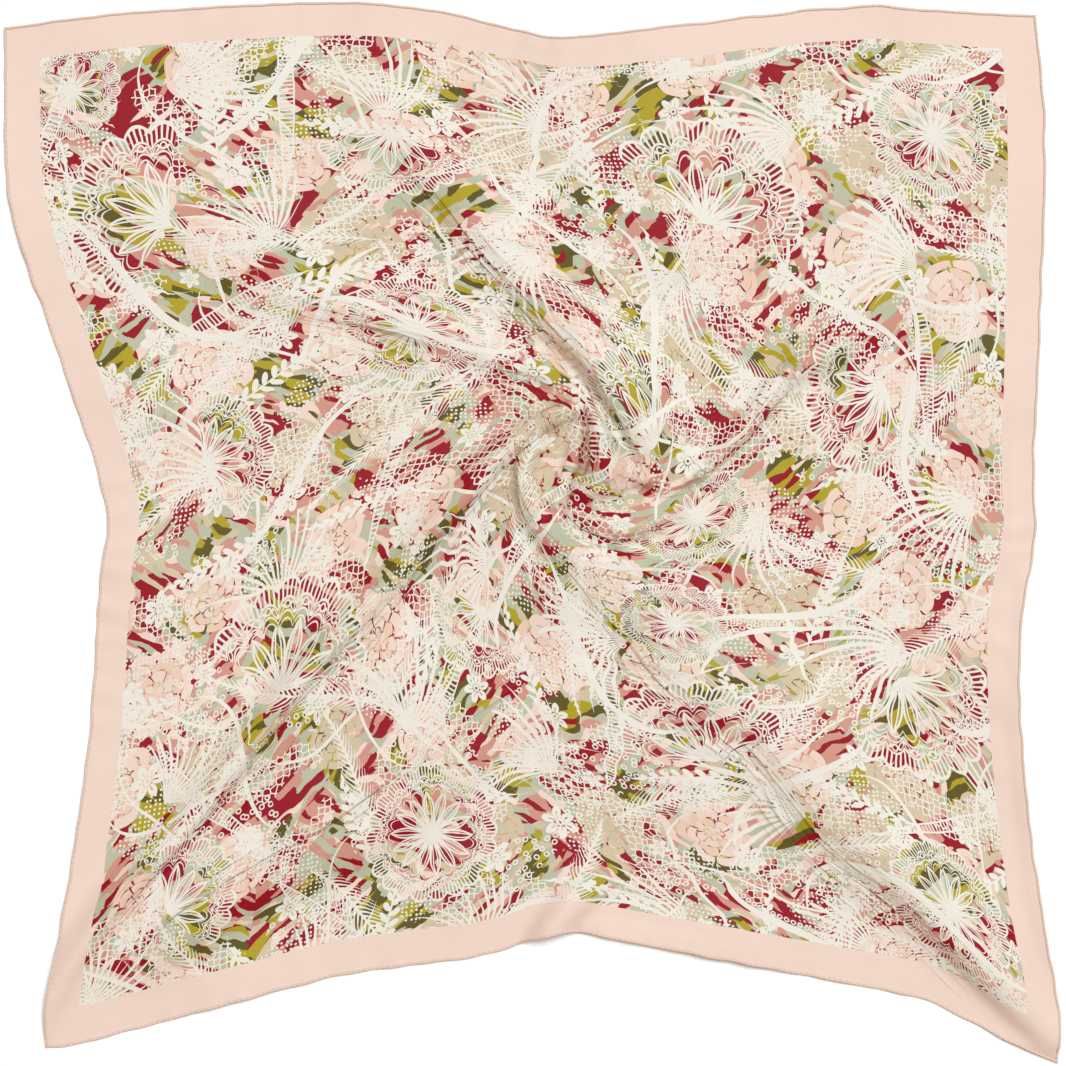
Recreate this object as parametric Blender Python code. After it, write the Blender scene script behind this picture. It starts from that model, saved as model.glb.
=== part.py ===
"""A square scarf of printed silk twill, laid face up with its middle gathered into a soft twist.

Five pieces: the square of cloth and the four hand-rolled hems along its sides. The square was cut
0.90 m a side. Its folds run out from the twist, the two longest of them to the lower corners, and
between the folds the cloth lies flat on z = 0.

Frame: metres, +Z up, +Y towards the top side. The origin is under the middle of the cloth's box.
"""
import math
from typing import NamedTuple

import bmesh
import bpy
import numpy as np

WALL = 0.001            # thickness of the square, measured straight up where it lies flat
HEM_WIDTH = 0.0026      # across the rolled edge
HEM_HEIGHT = 0.0022     # top of the rolled edge over what it lies on
SEAM_GAP = 0.0003       # between the square and a hem, and between two hems at a corner
DIVISIONS = 52          # cells along each side
TWIST_U = 0.57          # where the cells are finest, as a share of the side from the left
TWIST_V = 0.45          # the same from the top
CELL_GROWTH = 1.0       # how much wider the outermost cells are than the finest, over one
CURVE_STEPS = 8         # straight pieces between two stations of a fold's crest
MERGE_POWER = 4         # how sharply one fold passes over the next
NARROW_REACH = 0.010    # a fold's side that reaches no further than this is at its fullest
REACH_RANGE = 0.014     # how much further one must reach to be a full slope
LEAST_FULLNESS = 1.3    # the power that rounds the fullest side
FULLNESS_RANGE = 0.7    # what is added to it for a full slope
FACETS_FLAT = 1e-7      # slopes under this count as flat

# Corners of the laid-out scarf.
TOP_LEFT = (-0.4565, 0.4370)
TOP_RIGHT = (0.4365, 0.4480)
BOTTOM_LEFT = (-0.4210, -0.4460)
BOTTOM_RIGHT = (0.4555, -0.4595)


class Bow(NamedTuple):
    """One station of a side: how far it is drawn in from the line between its corners."""

    share: float
    inward: float


class Side(NamedTuple):
    """One side of the scarf, with the turn (+1 left, -1 right) that faces the middle."""

    start: tuple
    end: tuple
    inward_turn: int
    bows: tuple


class Crest(NamedTuple):
    """One station of a fold's crest, with its reach to the left and right as one walks along."""

    x: float
    y: float
    height: float
    left: float
    right: float


TOP = Side(TOP_LEFT, TOP_RIGHT, -1, (
    Bow(0.00, 0.0000),
    Bow(0.12, -0.0120),
    Bow(0.27, -0.0185),
    Bow(0.35, -0.0178),
    Bow(0.43, -0.0090),
    Bow(0.50, 0.0075),
    Bow(0.55, 0.0140),
    Bow(0.66, 0.0040),
    Bow(0.82, -0.0100),
    Bow(0.90, -0.0055),
    Bow(1.00, 0.0000),
))
RIGHT = Side(TOP_RIGHT, BOTTOM_RIGHT, -1, (
    Bow(0.00, 0.0000),
    Bow(0.11, -0.0065),
    Bow(0.27, 0.0000),
    Bow(0.42, 0.0089),
    Bow(0.50, 0.0098),
    Bow(0.57, 0.0220),
    Bow(0.65, 0.0262),
    Bow(0.77, 0.0200),
    Bow(0.88, 0.0080),
    Bow(0.95, -0.0022),
    Bow(1.00, 0.0000),
))
BOTTOM = Side(BOTTOM_LEFT, BOTTOM_RIGHT, 1, (
    Bow(0.00, 0.0000),
    Bow(0.04, 0.0050),
    Bow(0.20, 0.0450),
    Bow(0.30, 0.0680),
    Bow(0.43, 0.0855),
    Bow(0.51, 0.1067),
    Bow(0.59, 0.0970),
    Bow(0.79, 0.0663),
    Bow(0.87, 0.0519),
    Bow(0.95, 0.0184),
    Bow(1.00, 0.0000),
))
LEFT = Side(TOP_LEFT, BOTTOM_LEFT, 1, (
    Bow(0.00, 0.0000),
    Bow(0.13, -0.0036),
    Bow(0.20, 0.0036),
    Bow(0.32, 0.0350),
    Bow(0.47, 0.0706),
    Bow(0.55, 0.0627),
    Bow(0.71, 0.0468),
    Bow(0.87, 0.0200),
    Bow(0.96, 0.0016),
    Bow(1.00, 0.0000),
))

# The long fold that comes down from the upper left and tucks under the middle of the twist.
FOLD_UPPER_LEFT = (
    Crest(-0.127, 0.352, 0.000, 0.050, 0.024),
    Crest(-0.088, 0.310, 0.007, 0.066, 0.024),
    Crest(-0.036, 0.253, 0.012, 0.080, 0.029),
    Crest(0.012, 0.195, 0.011, 0.084, 0.024),
    Crest(0.050, 0.153, 0.021, 0.076, 0.024),
    Crest(0.076, 0.112, 0.022, 0.064, 0.030),
    Crest(0.097, 0.076, 0.013, 0.044, 0.024),
    Crest(0.108, 0.046, 0.007, 0.030, 0.018),
)
# The thin pleat below it, from the left.
FOLD_LEFT = (
    Crest(-0.330, 0.262, 0.000, 0.040, 0.020),
    Crest(-0.226, 0.212, 0.003, 0.056, 0.023),
    Crest(-0.131, 0.185, 0.009, 0.056, 0.018),
    Crest(-0.060, 0.161, 0.004, 0.036, 0.018),
    Crest(-0.006, 0.143, 0.007, 0.020, 0.018),
    Crest(0.034, 0.128, 0.004, 0.018, 0.018),
)
# The narrow fold to the lower left corner.
FOLD_LOWER_LEFT = (
    Crest(0.050, 0.112, 0.008, 0.018, 0.018),
    Crest(0.021, 0.101, 0.014, 0.018, 0.018),
    Crest(-0.017, 0.076, 0.015, 0.018, 0.018),
    Crest(-0.051, 0.037, 0.014, 0.018, 0.026),
    Crest(-0.118, -0.042, 0.013, 0.018, 0.028),
    Crest(-0.196, -0.130, 0.018, 0.018, 0.030),
    Crest(-0.292, -0.252, 0.018, 0.018, 0.030),
    Crest(-0.361, -0.327, 0.016, 0.018, 0.028),
    Crest(-0.411, -0.400, 0.008, 0.018, 0.018),
    Crest(-0.423, -0.439, 0.000, 0.018, 0.018),
)
# The low slope that it rises from.
SLOPE_LOWER_LEFT = (
    Crest(-0.060, 0.026, 0.002, 0.020, 0.018),
    Crest(-0.118, -0.042, 0.004, 0.028, 0.018),
    Crest(-0.196, -0.130, 0.006, 0.034, 0.018),
    Crest(-0.292, -0.252, 0.006, 0.034, 0.018),
    Crest(-0.361, -0.327, 0.006, 0.032, 0.018),
    Crest(-0.411, -0.400, 0.002, 0.020, 0.018),
)
# The broad, low fold between the two lower corners' folds.
FOLD_LOW = (
    Crest(0.060, -0.104, 0.000, 0.034, 0.024),
    Crest(0.008, -0.138, 0.006, 0.044, 0.024),
    Crest(-0.070, -0.194, 0.009, 0.046, 0.024),
    Crest(-0.154, -0.257, 0.013, 0.044, 0.024),
    Crest(-0.283, -0.331, 0.012, 0.030, 0.022),
    Crest(-0.348, -0.384, 0.002, 0.026, 0.020),
)
# The highest long fold, which rounds the twist and runs to the lower right corner.
FOLD_LOWER_RIGHT = (
    Crest(0.008, 0.084, 0.006, 0.018, 0.018),
    Crest(-0.008, 0.060, 0.014, 0.018, 0.018),
    Crest(-0.005, 0.032, 0.014, 0.018, 0.018),
    Crest(0.010, 0.006, 0.008, 0.020, 0.018),
    Crest(0.041, -0.024, 0.005, 0.030, 0.022),
    Crest(0.074, -0.052, 0.006, 0.050, 0.032),
    Crest(0.108, -0.084, 0.009, 0.070, 0.042),
    Crest(0.150, -0.124, 0.011, 0.090, 0.048),
    Crest(0.204, -0.180, 0.019, 0.100, 0.034),
    Crest(0.264, -0.244, 0.020, 0.096, 0.046),
    Crest(0.323, -0.306, 0.023, 0.080, 0.032),
    Crest(0.388, -0.377, 0.020, 0.056, 0.022),
    Crest(0.448, -0.439, 0.008, 0.030, 0.018),
)
# The low slope that it rises from.
SLOPE_LOWER_RIGHT = (
    Crest(0.108, -0.084, 0.004, 0.030, 0.044),
    Crest(0.150, -0.124, 0.009, 0.030, 0.056),
    Crest(0.204, -0.180, 0.012, 0.030, 0.060),
    Crest(0.264, -0.244, 0.012, 0.030, 0.062),
    Crest(0.323, -0.306, 0.010, 0.030, 0.046),
    Crest(0.388, -0.377, 0.004, 0.020, 0.030),
)
# The short fold up to the right.
FOLD_UPPER_RIGHT = (
    Crest(0.092, 0.050, 0.008, 0.018, 0.018),
    Crest(0.112, 0.042, 0.009, 0.018, 0.018),
    Crest(0.145, 0.056, 0.009, 0.018, 0.018),
    Crest(0.184, 0.089, 0.013, 0.018, 0.018),
    Crest(0.218, 0.132, 0.010, 0.018, 0.018),
    Crest(0.252, 0.157, 0.009, 0.018, 0.026),
    Crest(0.282, 0.172, 0.000, 0.018, 0.018),
)
# The puff of cloth at the heart of the twist, and the two tucks under it.
FOLD_HEART = (
    Crest(0.048, 0.118, 0.010, 0.018, 0.018),
    Crest(0.055, 0.098, 0.018, 0.018, 0.018),
    Crest(0.060, 0.074, 0.021, 0.022, 0.018),
    Crest(0.062, 0.054, 0.020, 0.026, 0.024),
    Crest(0.052, 0.032, 0.011, 0.024, 0.022),
)
TUCK_UPPER = (
    Crest(0.032, 0.022, 0.005, 0.018, 0.018),
    Crest(0.050, 0.008, 0.008, 0.020, 0.018),
    Crest(0.078, 0.003, 0.008, 0.022, 0.018),
    Crest(0.103, 0.013, 0.006, 0.018, 0.018),
    Crest(0.128, 0.026, 0.000, 0.018, 0.018),
)
TUCK_LOWER = (
    Crest(0.052, -0.022, 0.003, 0.018, 0.018),
    Crest(0.078, -0.032, 0.006, 0.018, 0.018),
    Crest(0.110, -0.026, 0.005, 0.018, 0.018),
    Crest(0.140, -0.018, 0.003, 0.018, 0.018),
    Crest(0.172, -0.018, 0.000, 0.018, 0.018),
)
# The fold that lifts the lower side near its middle.
EDGE_LIFT = (
    Crest(-0.004, -0.389, 0.009, 0.020, 0.026),
    Crest(0.012, -0.350, 0.013, 0.020, 0.024),
    Crest(0.038, -0.316, 0.011, 0.020, 0.022),
    Crest(0.072, -0.290, 0.000, 0.018, 0.020),
)
# The right side's border, which curls up a little towards its lower corner.
BORDER_CURL = (
    Crest(0.431, -0.010, 0.000, 0.012, 0.010),
    Crest(0.425, -0.057, 0.003, 0.013, 0.010),
    Crest(0.419, -0.143, 0.004, 0.014, 0.010),
    Crest(0.426, -0.229, 0.005, 0.015, 0.010),
    Crest(0.436, -0.314, 0.004, 0.014, 0.010),
    Crest(0.451, -0.400, 0.004, 0.014, 0.010),
    Crest(0.458, -0.440, 0.000, 0.012, 0.010),
)
FOLDS = (
    FOLD_UPPER_LEFT,
    FOLD_LEFT,
    FOLD_LOWER_LEFT,
    SLOPE_LOWER_LEFT,
    FOLD_LOW,
    FOLD_LOWER_RIGHT,
    SLOPE_LOWER_RIGHT,
    FOLD_UPPER_RIGHT,
    FOLD_HEART,
    TUCK_UPPER,
    TUCK_LOWER,
    EDGE_LIFT,
    BORDER_CURL,
)

# The low heap of hidden layers that lifts the whole twist.
HEAP_CENTRE = (0.055, 0.058)
HEAP_HEIGHT = 0.0125
HEAP_REACH = 0.190

# The rolled edge's section: (share of the width from outside, share of the height).
HEM_SECTION = (
    (0.20, 0.0),
    (0.80, 0.0),
    (1.00, 0.5),
    (0.75, 1.0),
    (0.25, 1.0),
    (0.00, 0.5),
)

BORDER_PINK = (0.895, 0.680, 0.590, 1.0)
PRINT_GROUND = (0.800, 0.660, 0.575, 1.0)
SILK_ROUGHNESS = 0.45


def clear_scene():
    """Remove everything, so that the script can be run again."""
    for item in list(bpy.data.objects):
        bpy.data.objects.remove(item, do_unlink=True)


def silk(name, colour):
    """A smooth, unmetallic cloth of one colour."""
    material = bpy.data.materials.new(name)
    material.use_nodes = True
    shader = material.node_tree.nodes["Principled BSDF"]
    shader.inputs["Base Color"].default_value = colour
    shader.inputs["Roughness"].default_value = SILK_ROUGHNESS
    shader.inputs["Metallic"].default_value = 0.0
    return material


def through(stations, steps):
    """Points on a smooth curve through the stations, in even steps between each two."""
    known = np.array(stations, float)
    first = 2 * known[0] - known[1]
    last = 2 * known[-1] - known[-2]
    padded = np.vstack((first, known, last))
    points = []
    for index in range(1, len(padded) - 2):
        before, here, there, after = padded[index - 1:index + 3]
        for step in range(steps):
            t = step / steps
            points.append(0.5 * (
                2 * here
                + (there - before) * t
                + (2 * before - 5 * here + 4 * there - after) * t ** 2
                + (3 * here - before - 3 * there + after) * t ** 3
            ))
    points.append(known[-1])
    return np.array(points)


def shares(middle):
    """Shares of a side where its cells end: closest together at the middle, wider outwards."""
    centres = (np.arange(DIVISIONS) + 0.5) / DIVISIONS
    widths = 1 + CELL_GROWTH * (2 * (centres - middle)) ** 2
    ends = np.concatenate(([0.0], np.cumsum(widths)))
    return ends / ends[-1]


def side_points(side, along):
    """Outline points of one side, at the given shares of the way between its corners."""
    start = np.array(side.start)
    chord = np.array(side.end) - start
    inward = np.array((-chord[1], chord[0])) * side.inward_turn / np.linalg.norm(chord)
    curve = through(side.bows, CURVE_STEPS)
    bow = np.interp(along, curve[:, 0], curve[:, 1])
    return start + np.outer(along, chord) + np.outer(bow, inward)


def outline():
    """The scarf's outline as one closed loop, clockwise from the top left corner."""
    across = shares(TWIST_U)
    down = shares(TWIST_V)
    loop = np.vstack((
        side_points(TOP, across)[:-1],
        side_points(RIGHT, down)[:-1],
        side_points(BOTTOM, across)[:0:-1],
        side_points(LEFT, down)[:0:-1],
    ))
    return loop - (loop.min(axis=0) + loop.max(axis=0)) / 2


def inward_rays(loop):
    """For each outline point, the mitred way in that moves every side by one unit."""
    ahead = np.roll(loop, -1, axis=0) - loop
    ahead /= np.linalg.norm(ahead, axis=1)[:, None]
    normals = np.column_stack((ahead[:, 1], -ahead[:, 0]))
    rays = normals + np.roll(normals, 1, axis=0)
    rays /= np.linalg.norm(rays, axis=1)[:, None]
    return rays / np.sum(rays * normals, axis=1)[:, None]


def bell(distance, reach):
    """A smooth rise from 0 at the reach to 1 on the crest."""
    return 0.5 * (1 + np.cos(np.pi * np.clip(distance / reach, 0, 1)))


def fold_section(distance, reach):
    """A fold's rise from 0 at the reach to 1 on the crest: full where narrow, sloping where wide."""
    fullness = LEAST_FULLNESS + FULLNESS_RANGE * np.clip((reach - NARROW_REACH) / REACH_RANGE, 0, 1)
    return np.clip(1 - (distance / reach) ** 2, 0, 1) ** fullness


def fold_height(x, y, fold):
    """How high one fold lifts the cloth at each place."""
    crest = through(fold, CURVE_STEPS)
    lift = np.zeros(x.shape)
    for here, there in zip(crest, crest[1:]):
        dx = there[0] - here[0]
        dy = there[1] - here[1]
        share = ((x - here[0]) * dx + (y - here[1]) * dy) / (dx * dx + dy * dy)
        share = np.clip(share, 0, 1)
        off_x = x - here[0] - share * dx
        off_y = y - here[1] - share * dy
        _, _, height, left, right = (here[:, None] + np.outer(there - here, share.ravel()))
        is_left = (dx * off_y - dy * off_x > 0).ravel()
        rise = height * fold_section(np.hypot(off_x, off_y).ravel(),
                                     np.where(is_left, left, right))
        lift = np.maximum(lift, rise.reshape(x.shape))
    return lift


def cloth_height(x, y):
    """How high the underside of the cloth lies over the surface at each place."""
    total = sum(fold_height(x, y, fold) ** MERGE_POWER for fold in FOLDS)
    away = np.hypot(x - HEAP_CENTRE[0], y - HEAP_CENTRE[1])
    return total ** (1 / MERGE_POWER) + HEAP_HEIGHT * bell(away, HEAP_REACH)


def panel_plan(loop):
    """Plan places of the square's grid, filled in evenly from its four sides."""
    count = DIVISIONS
    inner = loop + inward_rays(loop) * (HEM_WIDTH + SEAM_GAP)
    inner = np.vstack((inner, inner[:1]))
    top = inner[:count + 1]
    right = inner[count:2 * count + 1]
    bottom = inner[2 * count:3 * count + 1][::-1]
    left = inner[3 * count:][::-1]
    u = shares(TWIST_U)[:, None, None]
    v = shares(TWIST_V)[None, :, None]
    ruled = (1 - v) * top[:, None] + v * bottom[:, None]
    ruled = ruled + (1 - u) * left[None, :] + u * right[None, :]
    corners = (1 - u) * (1 - v) * top[0] + u * (1 - v) * top[-1]
    corners = corners + (1 - u) * v * bottom[0] + u * v * bottom[-1]
    return ruled - corners


def split_cells(mesh):
    """Cut each cell along the diagonal that lies nearest to the cloth's true height."""
    for face in list(mesh.faces):
        a, b, c, d = face.verts
        middle = (a.co + b.co + c.co + d.co) / 4
        height = cloth_height(np.array([middle.x]), np.array([middle.y]))[0]
        along_ac = abs((a.co.z + c.co.z) / 2 - height)
        along_bd = abs((b.co.z + d.co.z) / 2 - height)
        ends = (a, c) if along_ac <= along_bd else (b, d)
        bmesh.utils.face_split(face, *ends)


def raise_wall(mesh):
    """Give the cloth its thickness, straight up, so that flat stretches stay flat below."""
    mesh.normal_update()
    slopes = {}
    for vert in mesh.verts:
        steepest = min(abs(face.normal.z) for face in vert.link_faces)
        slopes[vert.index] = 1.0 if 1 - steepest < FACETS_FLAT else (1 + steepest) / 2
    lower = list(mesh.verts)
    raised = bmesh.ops.extrude_face_region(mesh, geom=list(mesh.faces))
    upper = [item for item in raised["geom"] if isinstance(item, bmesh.types.BMVert)]
    below = {(round(v.co.x, 7), round(v.co.y, 7)): v.index for v in lower}
    for vert in upper:
        index = below[(round(vert.co.x, 7), round(vert.co.y, 7))]
        vert.co.z += WALL / slopes[index]


def finish(mesh, name, material):
    """Turn a working mesh into a named object with its faces pointing out."""
    bmesh.ops.recalc_face_normals(mesh, faces=list(mesh.faces))
    data = bpy.data.meshes.new(name)
    mesh.to_mesh(data)
    mesh.free()
    data.materials.append(material)
    data.shade_smooth()
    data.set_sharp_from_angle(angle=math.radians(50))
    item = bpy.data.objects.new(name, data)
    bpy.context.scene.collection.objects.link(item)
    return item


def build_panel(loop, material):
    """The square of cloth: a grid laid over the folds, cut to triangles and given its wall."""
    plan = panel_plan(loop)
    heights = cloth_height(plan[:, :, 0], plan[:, :, 1])
    mesh = bmesh.new()
    bmesh.ops.create_grid(mesh, x_segments=DIVISIONS, y_segments=DIVISIONS, size=0.5)
    for vert in mesh.verts:
        column = round((vert.co.x + 0.5) * DIVISIONS)
        row = round((0.5 - vert.co.y) * DIVISIONS)
        vert.co.xy = plan[column, row]
        vert.co.z = heights[column, row]
    split_cells(mesh)
    mesh.verts.index_update()
    raise_wall(mesh)
    return finish(mesh, "panel", material)


def build_hem(name, loop, first, material):
    """One rolled edge, swept along its side from corner to corner."""
    rays = inward_rays(loop)
    count = len(loop)
    places = [(first + step) % count for step in range(DIVISIONS + 1)]
    mesh = bmesh.new()
    rings = []
    for step, place in enumerate(places):
        lift = cloth_height(loop[place:place + 1, 0], loop[place:place + 1, 1])[0]
        shift = np.zeros(2)
        if step in (0, DIVISIONS):
            neighbour = places[1] if step == 0 else places[-2]
            away = loop[neighbour] - loop[place]
            shift = away / np.linalg.norm(away) * SEAM_GAP * math.sqrt(0.5)
        ring = []
        for across, up in HEM_SECTION:
            x, y = loop[place] + shift + rays[place] * HEM_WIDTH * across
            ring.append(mesh.verts.new((x, y, lift + up * HEM_HEIGHT)))
        rings.append(ring)
    sides = len(HEM_SECTION)
    for here, there in zip(rings, rings[1:]):
        for corner in range(sides):
            after = (corner + 1) % sides
            mesh.faces.new((here[corner], here[after], there[after], there[corner]))
    mesh.faces.new(rings[0])
    mesh.faces.new(rings[-1])
    bmesh.ops.triangulate(mesh, faces=list(mesh.faces))
    return finish(mesh, name, material)


def main():
    """Build the scarf."""
    clear_scene()
    loop = outline()
    build_panel(loop, silk("silk_twill_print", PRINT_GROUND))
    border = silk("silk_twill_border", BORDER_PINK)
    for side, name in enumerate(("hem_top", "hem_right", "hem_bottom", "hem_left")):
        build_hem(name, loop, side * DIVISIONS, border)


main()
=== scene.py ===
"""A square scarf of printed silk twill, laid face up with its middle gathered into a soft twist.

The square and its four hand-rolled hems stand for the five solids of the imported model. The cloth
is a thin shell. Its folds are set out below in metres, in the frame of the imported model, and the
print follows the flat cut through the shell's own UV map, so it turns and tucks with the cloth.
"""
import logging
import math
from collections.abc import Iterator
from dataclasses import dataclass, field
from enum import Enum
from functools import partialmethod, reduce
from operator import or_
from typing import ClassVar, NamedTuple

import bpy
import numpy as np
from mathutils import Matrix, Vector
from mathutils.kdtree import KDTree


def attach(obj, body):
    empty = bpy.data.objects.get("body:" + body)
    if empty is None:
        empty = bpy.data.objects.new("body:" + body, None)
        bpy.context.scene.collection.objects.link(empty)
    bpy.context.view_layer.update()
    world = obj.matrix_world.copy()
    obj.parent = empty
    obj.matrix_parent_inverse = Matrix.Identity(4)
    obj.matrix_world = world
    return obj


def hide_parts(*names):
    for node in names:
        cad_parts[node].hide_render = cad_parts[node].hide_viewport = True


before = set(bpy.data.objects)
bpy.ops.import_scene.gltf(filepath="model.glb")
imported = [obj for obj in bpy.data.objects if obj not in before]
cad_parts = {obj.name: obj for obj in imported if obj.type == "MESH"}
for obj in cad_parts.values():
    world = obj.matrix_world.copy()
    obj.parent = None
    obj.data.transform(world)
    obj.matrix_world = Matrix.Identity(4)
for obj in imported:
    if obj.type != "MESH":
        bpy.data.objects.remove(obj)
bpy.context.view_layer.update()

LOG = logging.getLogger("scarf")

MM = 0.001
ROWS_MM = 1000                  # the tables' rows are in millimetres
FULL_TURN = 2 * math.pi
CUT_SIDE = 0.900                # the square's side before it was laid down


# ---------------------------------------------------------------------------------------------
# Setting out: the outline and the folds, in metres
# ---------------------------------------------------------------------------------------------

class Bow(NamedTuple):
    """One station of a side: how far it is drawn in from the line between its corners."""

    share: float
    inward: float


class Side(NamedTuple):
    """One side of the scarf, with the turn (+1 left, -1 right) that faces the middle."""

    start: tuple[float, float]
    end: tuple[float, float]
    inward_turn: int
    bows: tuple[Bow, ...]


class Crest(NamedTuple):
    """One station of a fold's crest, with its reach to the left and right as one walks along."""

    x: float
    y: float
    height: float
    left: float
    right: float


class Edge(Enum):
    """The four sides of the square, with the node of each side's hem."""

    TOP = "hem_top"
    RIGHT = "hem_right"
    BOTTOM = "hem_bottom"
    LEFT = "hem_left"


def crests(*rows: tuple[float, ...]) -> tuple[Crest, ...]:
    """Crest stations from rows in millimetres: x, y, height, reach to the left and to the right."""
    return tuple(Crest(*(value / ROWS_MM for value in row)) for row in rows)


def bows(*rows: tuple[float, float]) -> tuple[Bow, ...]:
    """Bow stations from rows: the share of the side, and how far in it is drawn, in millimetres."""
    return tuple(Bow(share, inward / ROWS_MM) for share, inward in rows)


TOP_LEFT = (-0.4565, 0.4370)
TOP_RIGHT = (0.4365, 0.4480)
BOTTOM_LEFT = (-0.4210, -0.4460)
BOTTOM_RIGHT = (0.4555, -0.4595)

SIDES: dict[Edge, Side] = {
    Edge.TOP: Side(TOP_LEFT, TOP_RIGHT, -1, bows(
        (0, 0), (0.12, -12), (0.27, -18.5), (0.35, -17.8), (0.43, -9), (0.5, 7.5), (0.55, 14),
        (0.66, 4), (0.82, -10), (0.9, -5.5), (1, 0))),
    Edge.RIGHT: Side(TOP_RIGHT, BOTTOM_RIGHT, -1, bows(
        (0, 0), (0.11, -6.5), (0.27, 0), (0.42, 8.9), (0.5, 9.8), (0.57, 22), (0.65, 26.2),
        (0.77, 20), (0.88, 8), (0.95, -2.2), (1, 0))),
    Edge.BOTTOM: Side(BOTTOM_LEFT, BOTTOM_RIGHT, 1, bows(
        (0, 0), (0.04, 5), (0.2, 45), (0.3, 68), (0.43, 85.5), (0.51, 106.7), (0.59, 97),
        (0.79, 66.3), (0.87, 51.9), (0.95, 18.4), (1, 0))),
    Edge.LEFT: Side(TOP_LEFT, BOTTOM_LEFT, 1, bows(
        (0, 0), (0.13, -3.6), (0.2, 3.6), (0.32, 35), (0.47, 70.6), (0.55, 62.7), (0.71, 46.8),
        (0.87, 20), (0.96, 1.6), (1, 0))),
}

FOLDS: dict[str, tuple[Crest, ...]] = {
    # The long fold that comes down from the upper left and tucks under the middle of the twist.
    "upper left": crests(
        (-127, 352, 0, 50, 24), (-88, 310, 7, 66, 24), (-36, 253, 12, 80, 29),
        (12, 195, 11, 84, 24), (50, 153, 21, 76, 24), (76, 112, 22, 64, 30), (97, 76, 13, 44, 24),
        (108, 46, 7, 30, 18)),
    # The thin pleat below it, from the left.
    "left": crests(
        (-330, 262, 0, 40, 20), (-226, 212, 3, 56, 23), (-131, 185, 9, 56, 17),
        (-60, 161, 4, 36, 18), (-6, 143, 7, 20, 14), (34, 128, 4, 12, 12)),
    # The narrow fold to the lower left corner.
    "lower left": crests(
        (50, 112, 8, 12, 10), (21, 101, 14, 13, 12), (-17, 76, 15, 14, 18), (-51, 37, 14, 11, 26),
        (-118, -42, 13, 12, 28), (-196, -130, 18, 13, 30), (-292, -252, 18, 13, 30),
        (-361, -327, 16, 13, 28), (-411, -400, 8, 12, 16), (-423, -439, 0, 14, 16)),
    # The slope that it rises from, on its right.
    "lower left foot": crests(
        (-60, 26, 2, 20, 14), (-118, -42, 4, 28, 16), (-196, -130, 6, 34, 18),
        (-292, -252, 6, 34, 18), (-361, -327, 6, 32, 16), (-411, -400, 2, 20, 14)),
    # The broad, low fold between the two lower corners' folds.
    "low": crests(
        (60, -104, 0, 34, 24), (8, -138, 6, 44, 24), (-70, -194, 9, 46, 24),
        (-154, -257, 13, 44, 24), (-283, -331, 12, 30, 22), (-348, -384, 2, 26, 20)),
    # The highest long fold, which rounds the twist and runs to the lower right corner.
    "lower right": crests(
        (8, 84, 6, 12, 10), (-8, 60, 14, 13, 10), (-5, 32, 14, 16, 12), (10, 6, 8, 20, 18),
        (41, -24, 5, 30, 22), (74, -52, 6, 50, 32), (108, -84, 9, 70, 42), (150, -124, 11, 90, 48),
        (204, -180, 19, 100, 34), (264, -244, 20, 96, 46), (323, -306, 23, 80, 32),
        (388, -377, 20, 56, 22), (448, -439, 8, 30, 14)),
    # The slope that it rises from, on its right.
    "lower right foot": crests(
        (108, -84, 4, 30, 44), (150, -124, 9, 30, 56), (204, -180, 12, 30, 60),
        (264, -244, 12, 30, 62), (323, -306, 10, 30, 46), (388, -377, 4, 20, 30)),
    # The short fold up to the right.
    "upper right": crests(
        (92, 50, 8, 12, 11), (112, 42, 9, 12, 11), (145, 56, 9, 12, 12), (184, 89, 13, 16, 10),
        (218, 132, 10, 14, 14), (252, 157, 9, 9, 26), (282, 172, 0, 13, 10)),
    # The puff of cloth at the heart of the twist, and the two tucks under it.
    "heart": crests(
        (48, 118, 10, 10, 8), (55, 98, 18, 13, 10), (60, 74, 21, 22, 18), (62, 54, 20, 26, 24),
        (52, 32, 11, 24, 22)),
    "upper tuck": crests(
        (32, 22, 5, 14, 12), (50, 8, 8, 20, 12), (78, 3, 8, 22, 14), (103, 13, 6, 18, 14),
        (128, 26, 0, 14, 14)),
    "lower tuck": crests(
        (52, -22, 3, 12, 12), (78, -32, 6, 16, 14), (110, -26, 5, 18, 14), (140, -18, 3, 16, 16),
        (172, -18, 0, 14, 16)),
    # The fold that lifts the lower side near its middle.
    "edge lift": crests(
        (-4, -389, 9, 20, 26), (12, -350, 13, 20, 24), (38, -316, 11, 20, 22),
        (72, -290, 0, 16, 20)),
    # The right side's border, which curls up a little towards its lower corner.
    "border curl": crests(
        (431, -10, 0, 12, 10), (425, -57, 3, 13, 10), (419, -143, 4, 14, 10),
        (426, -229, 5, 15, 10), (436, -314, 4, 14, 10), (451, -400, 4, 14, 10),
        (458, -440, 0, 12, 10)),
}

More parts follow.
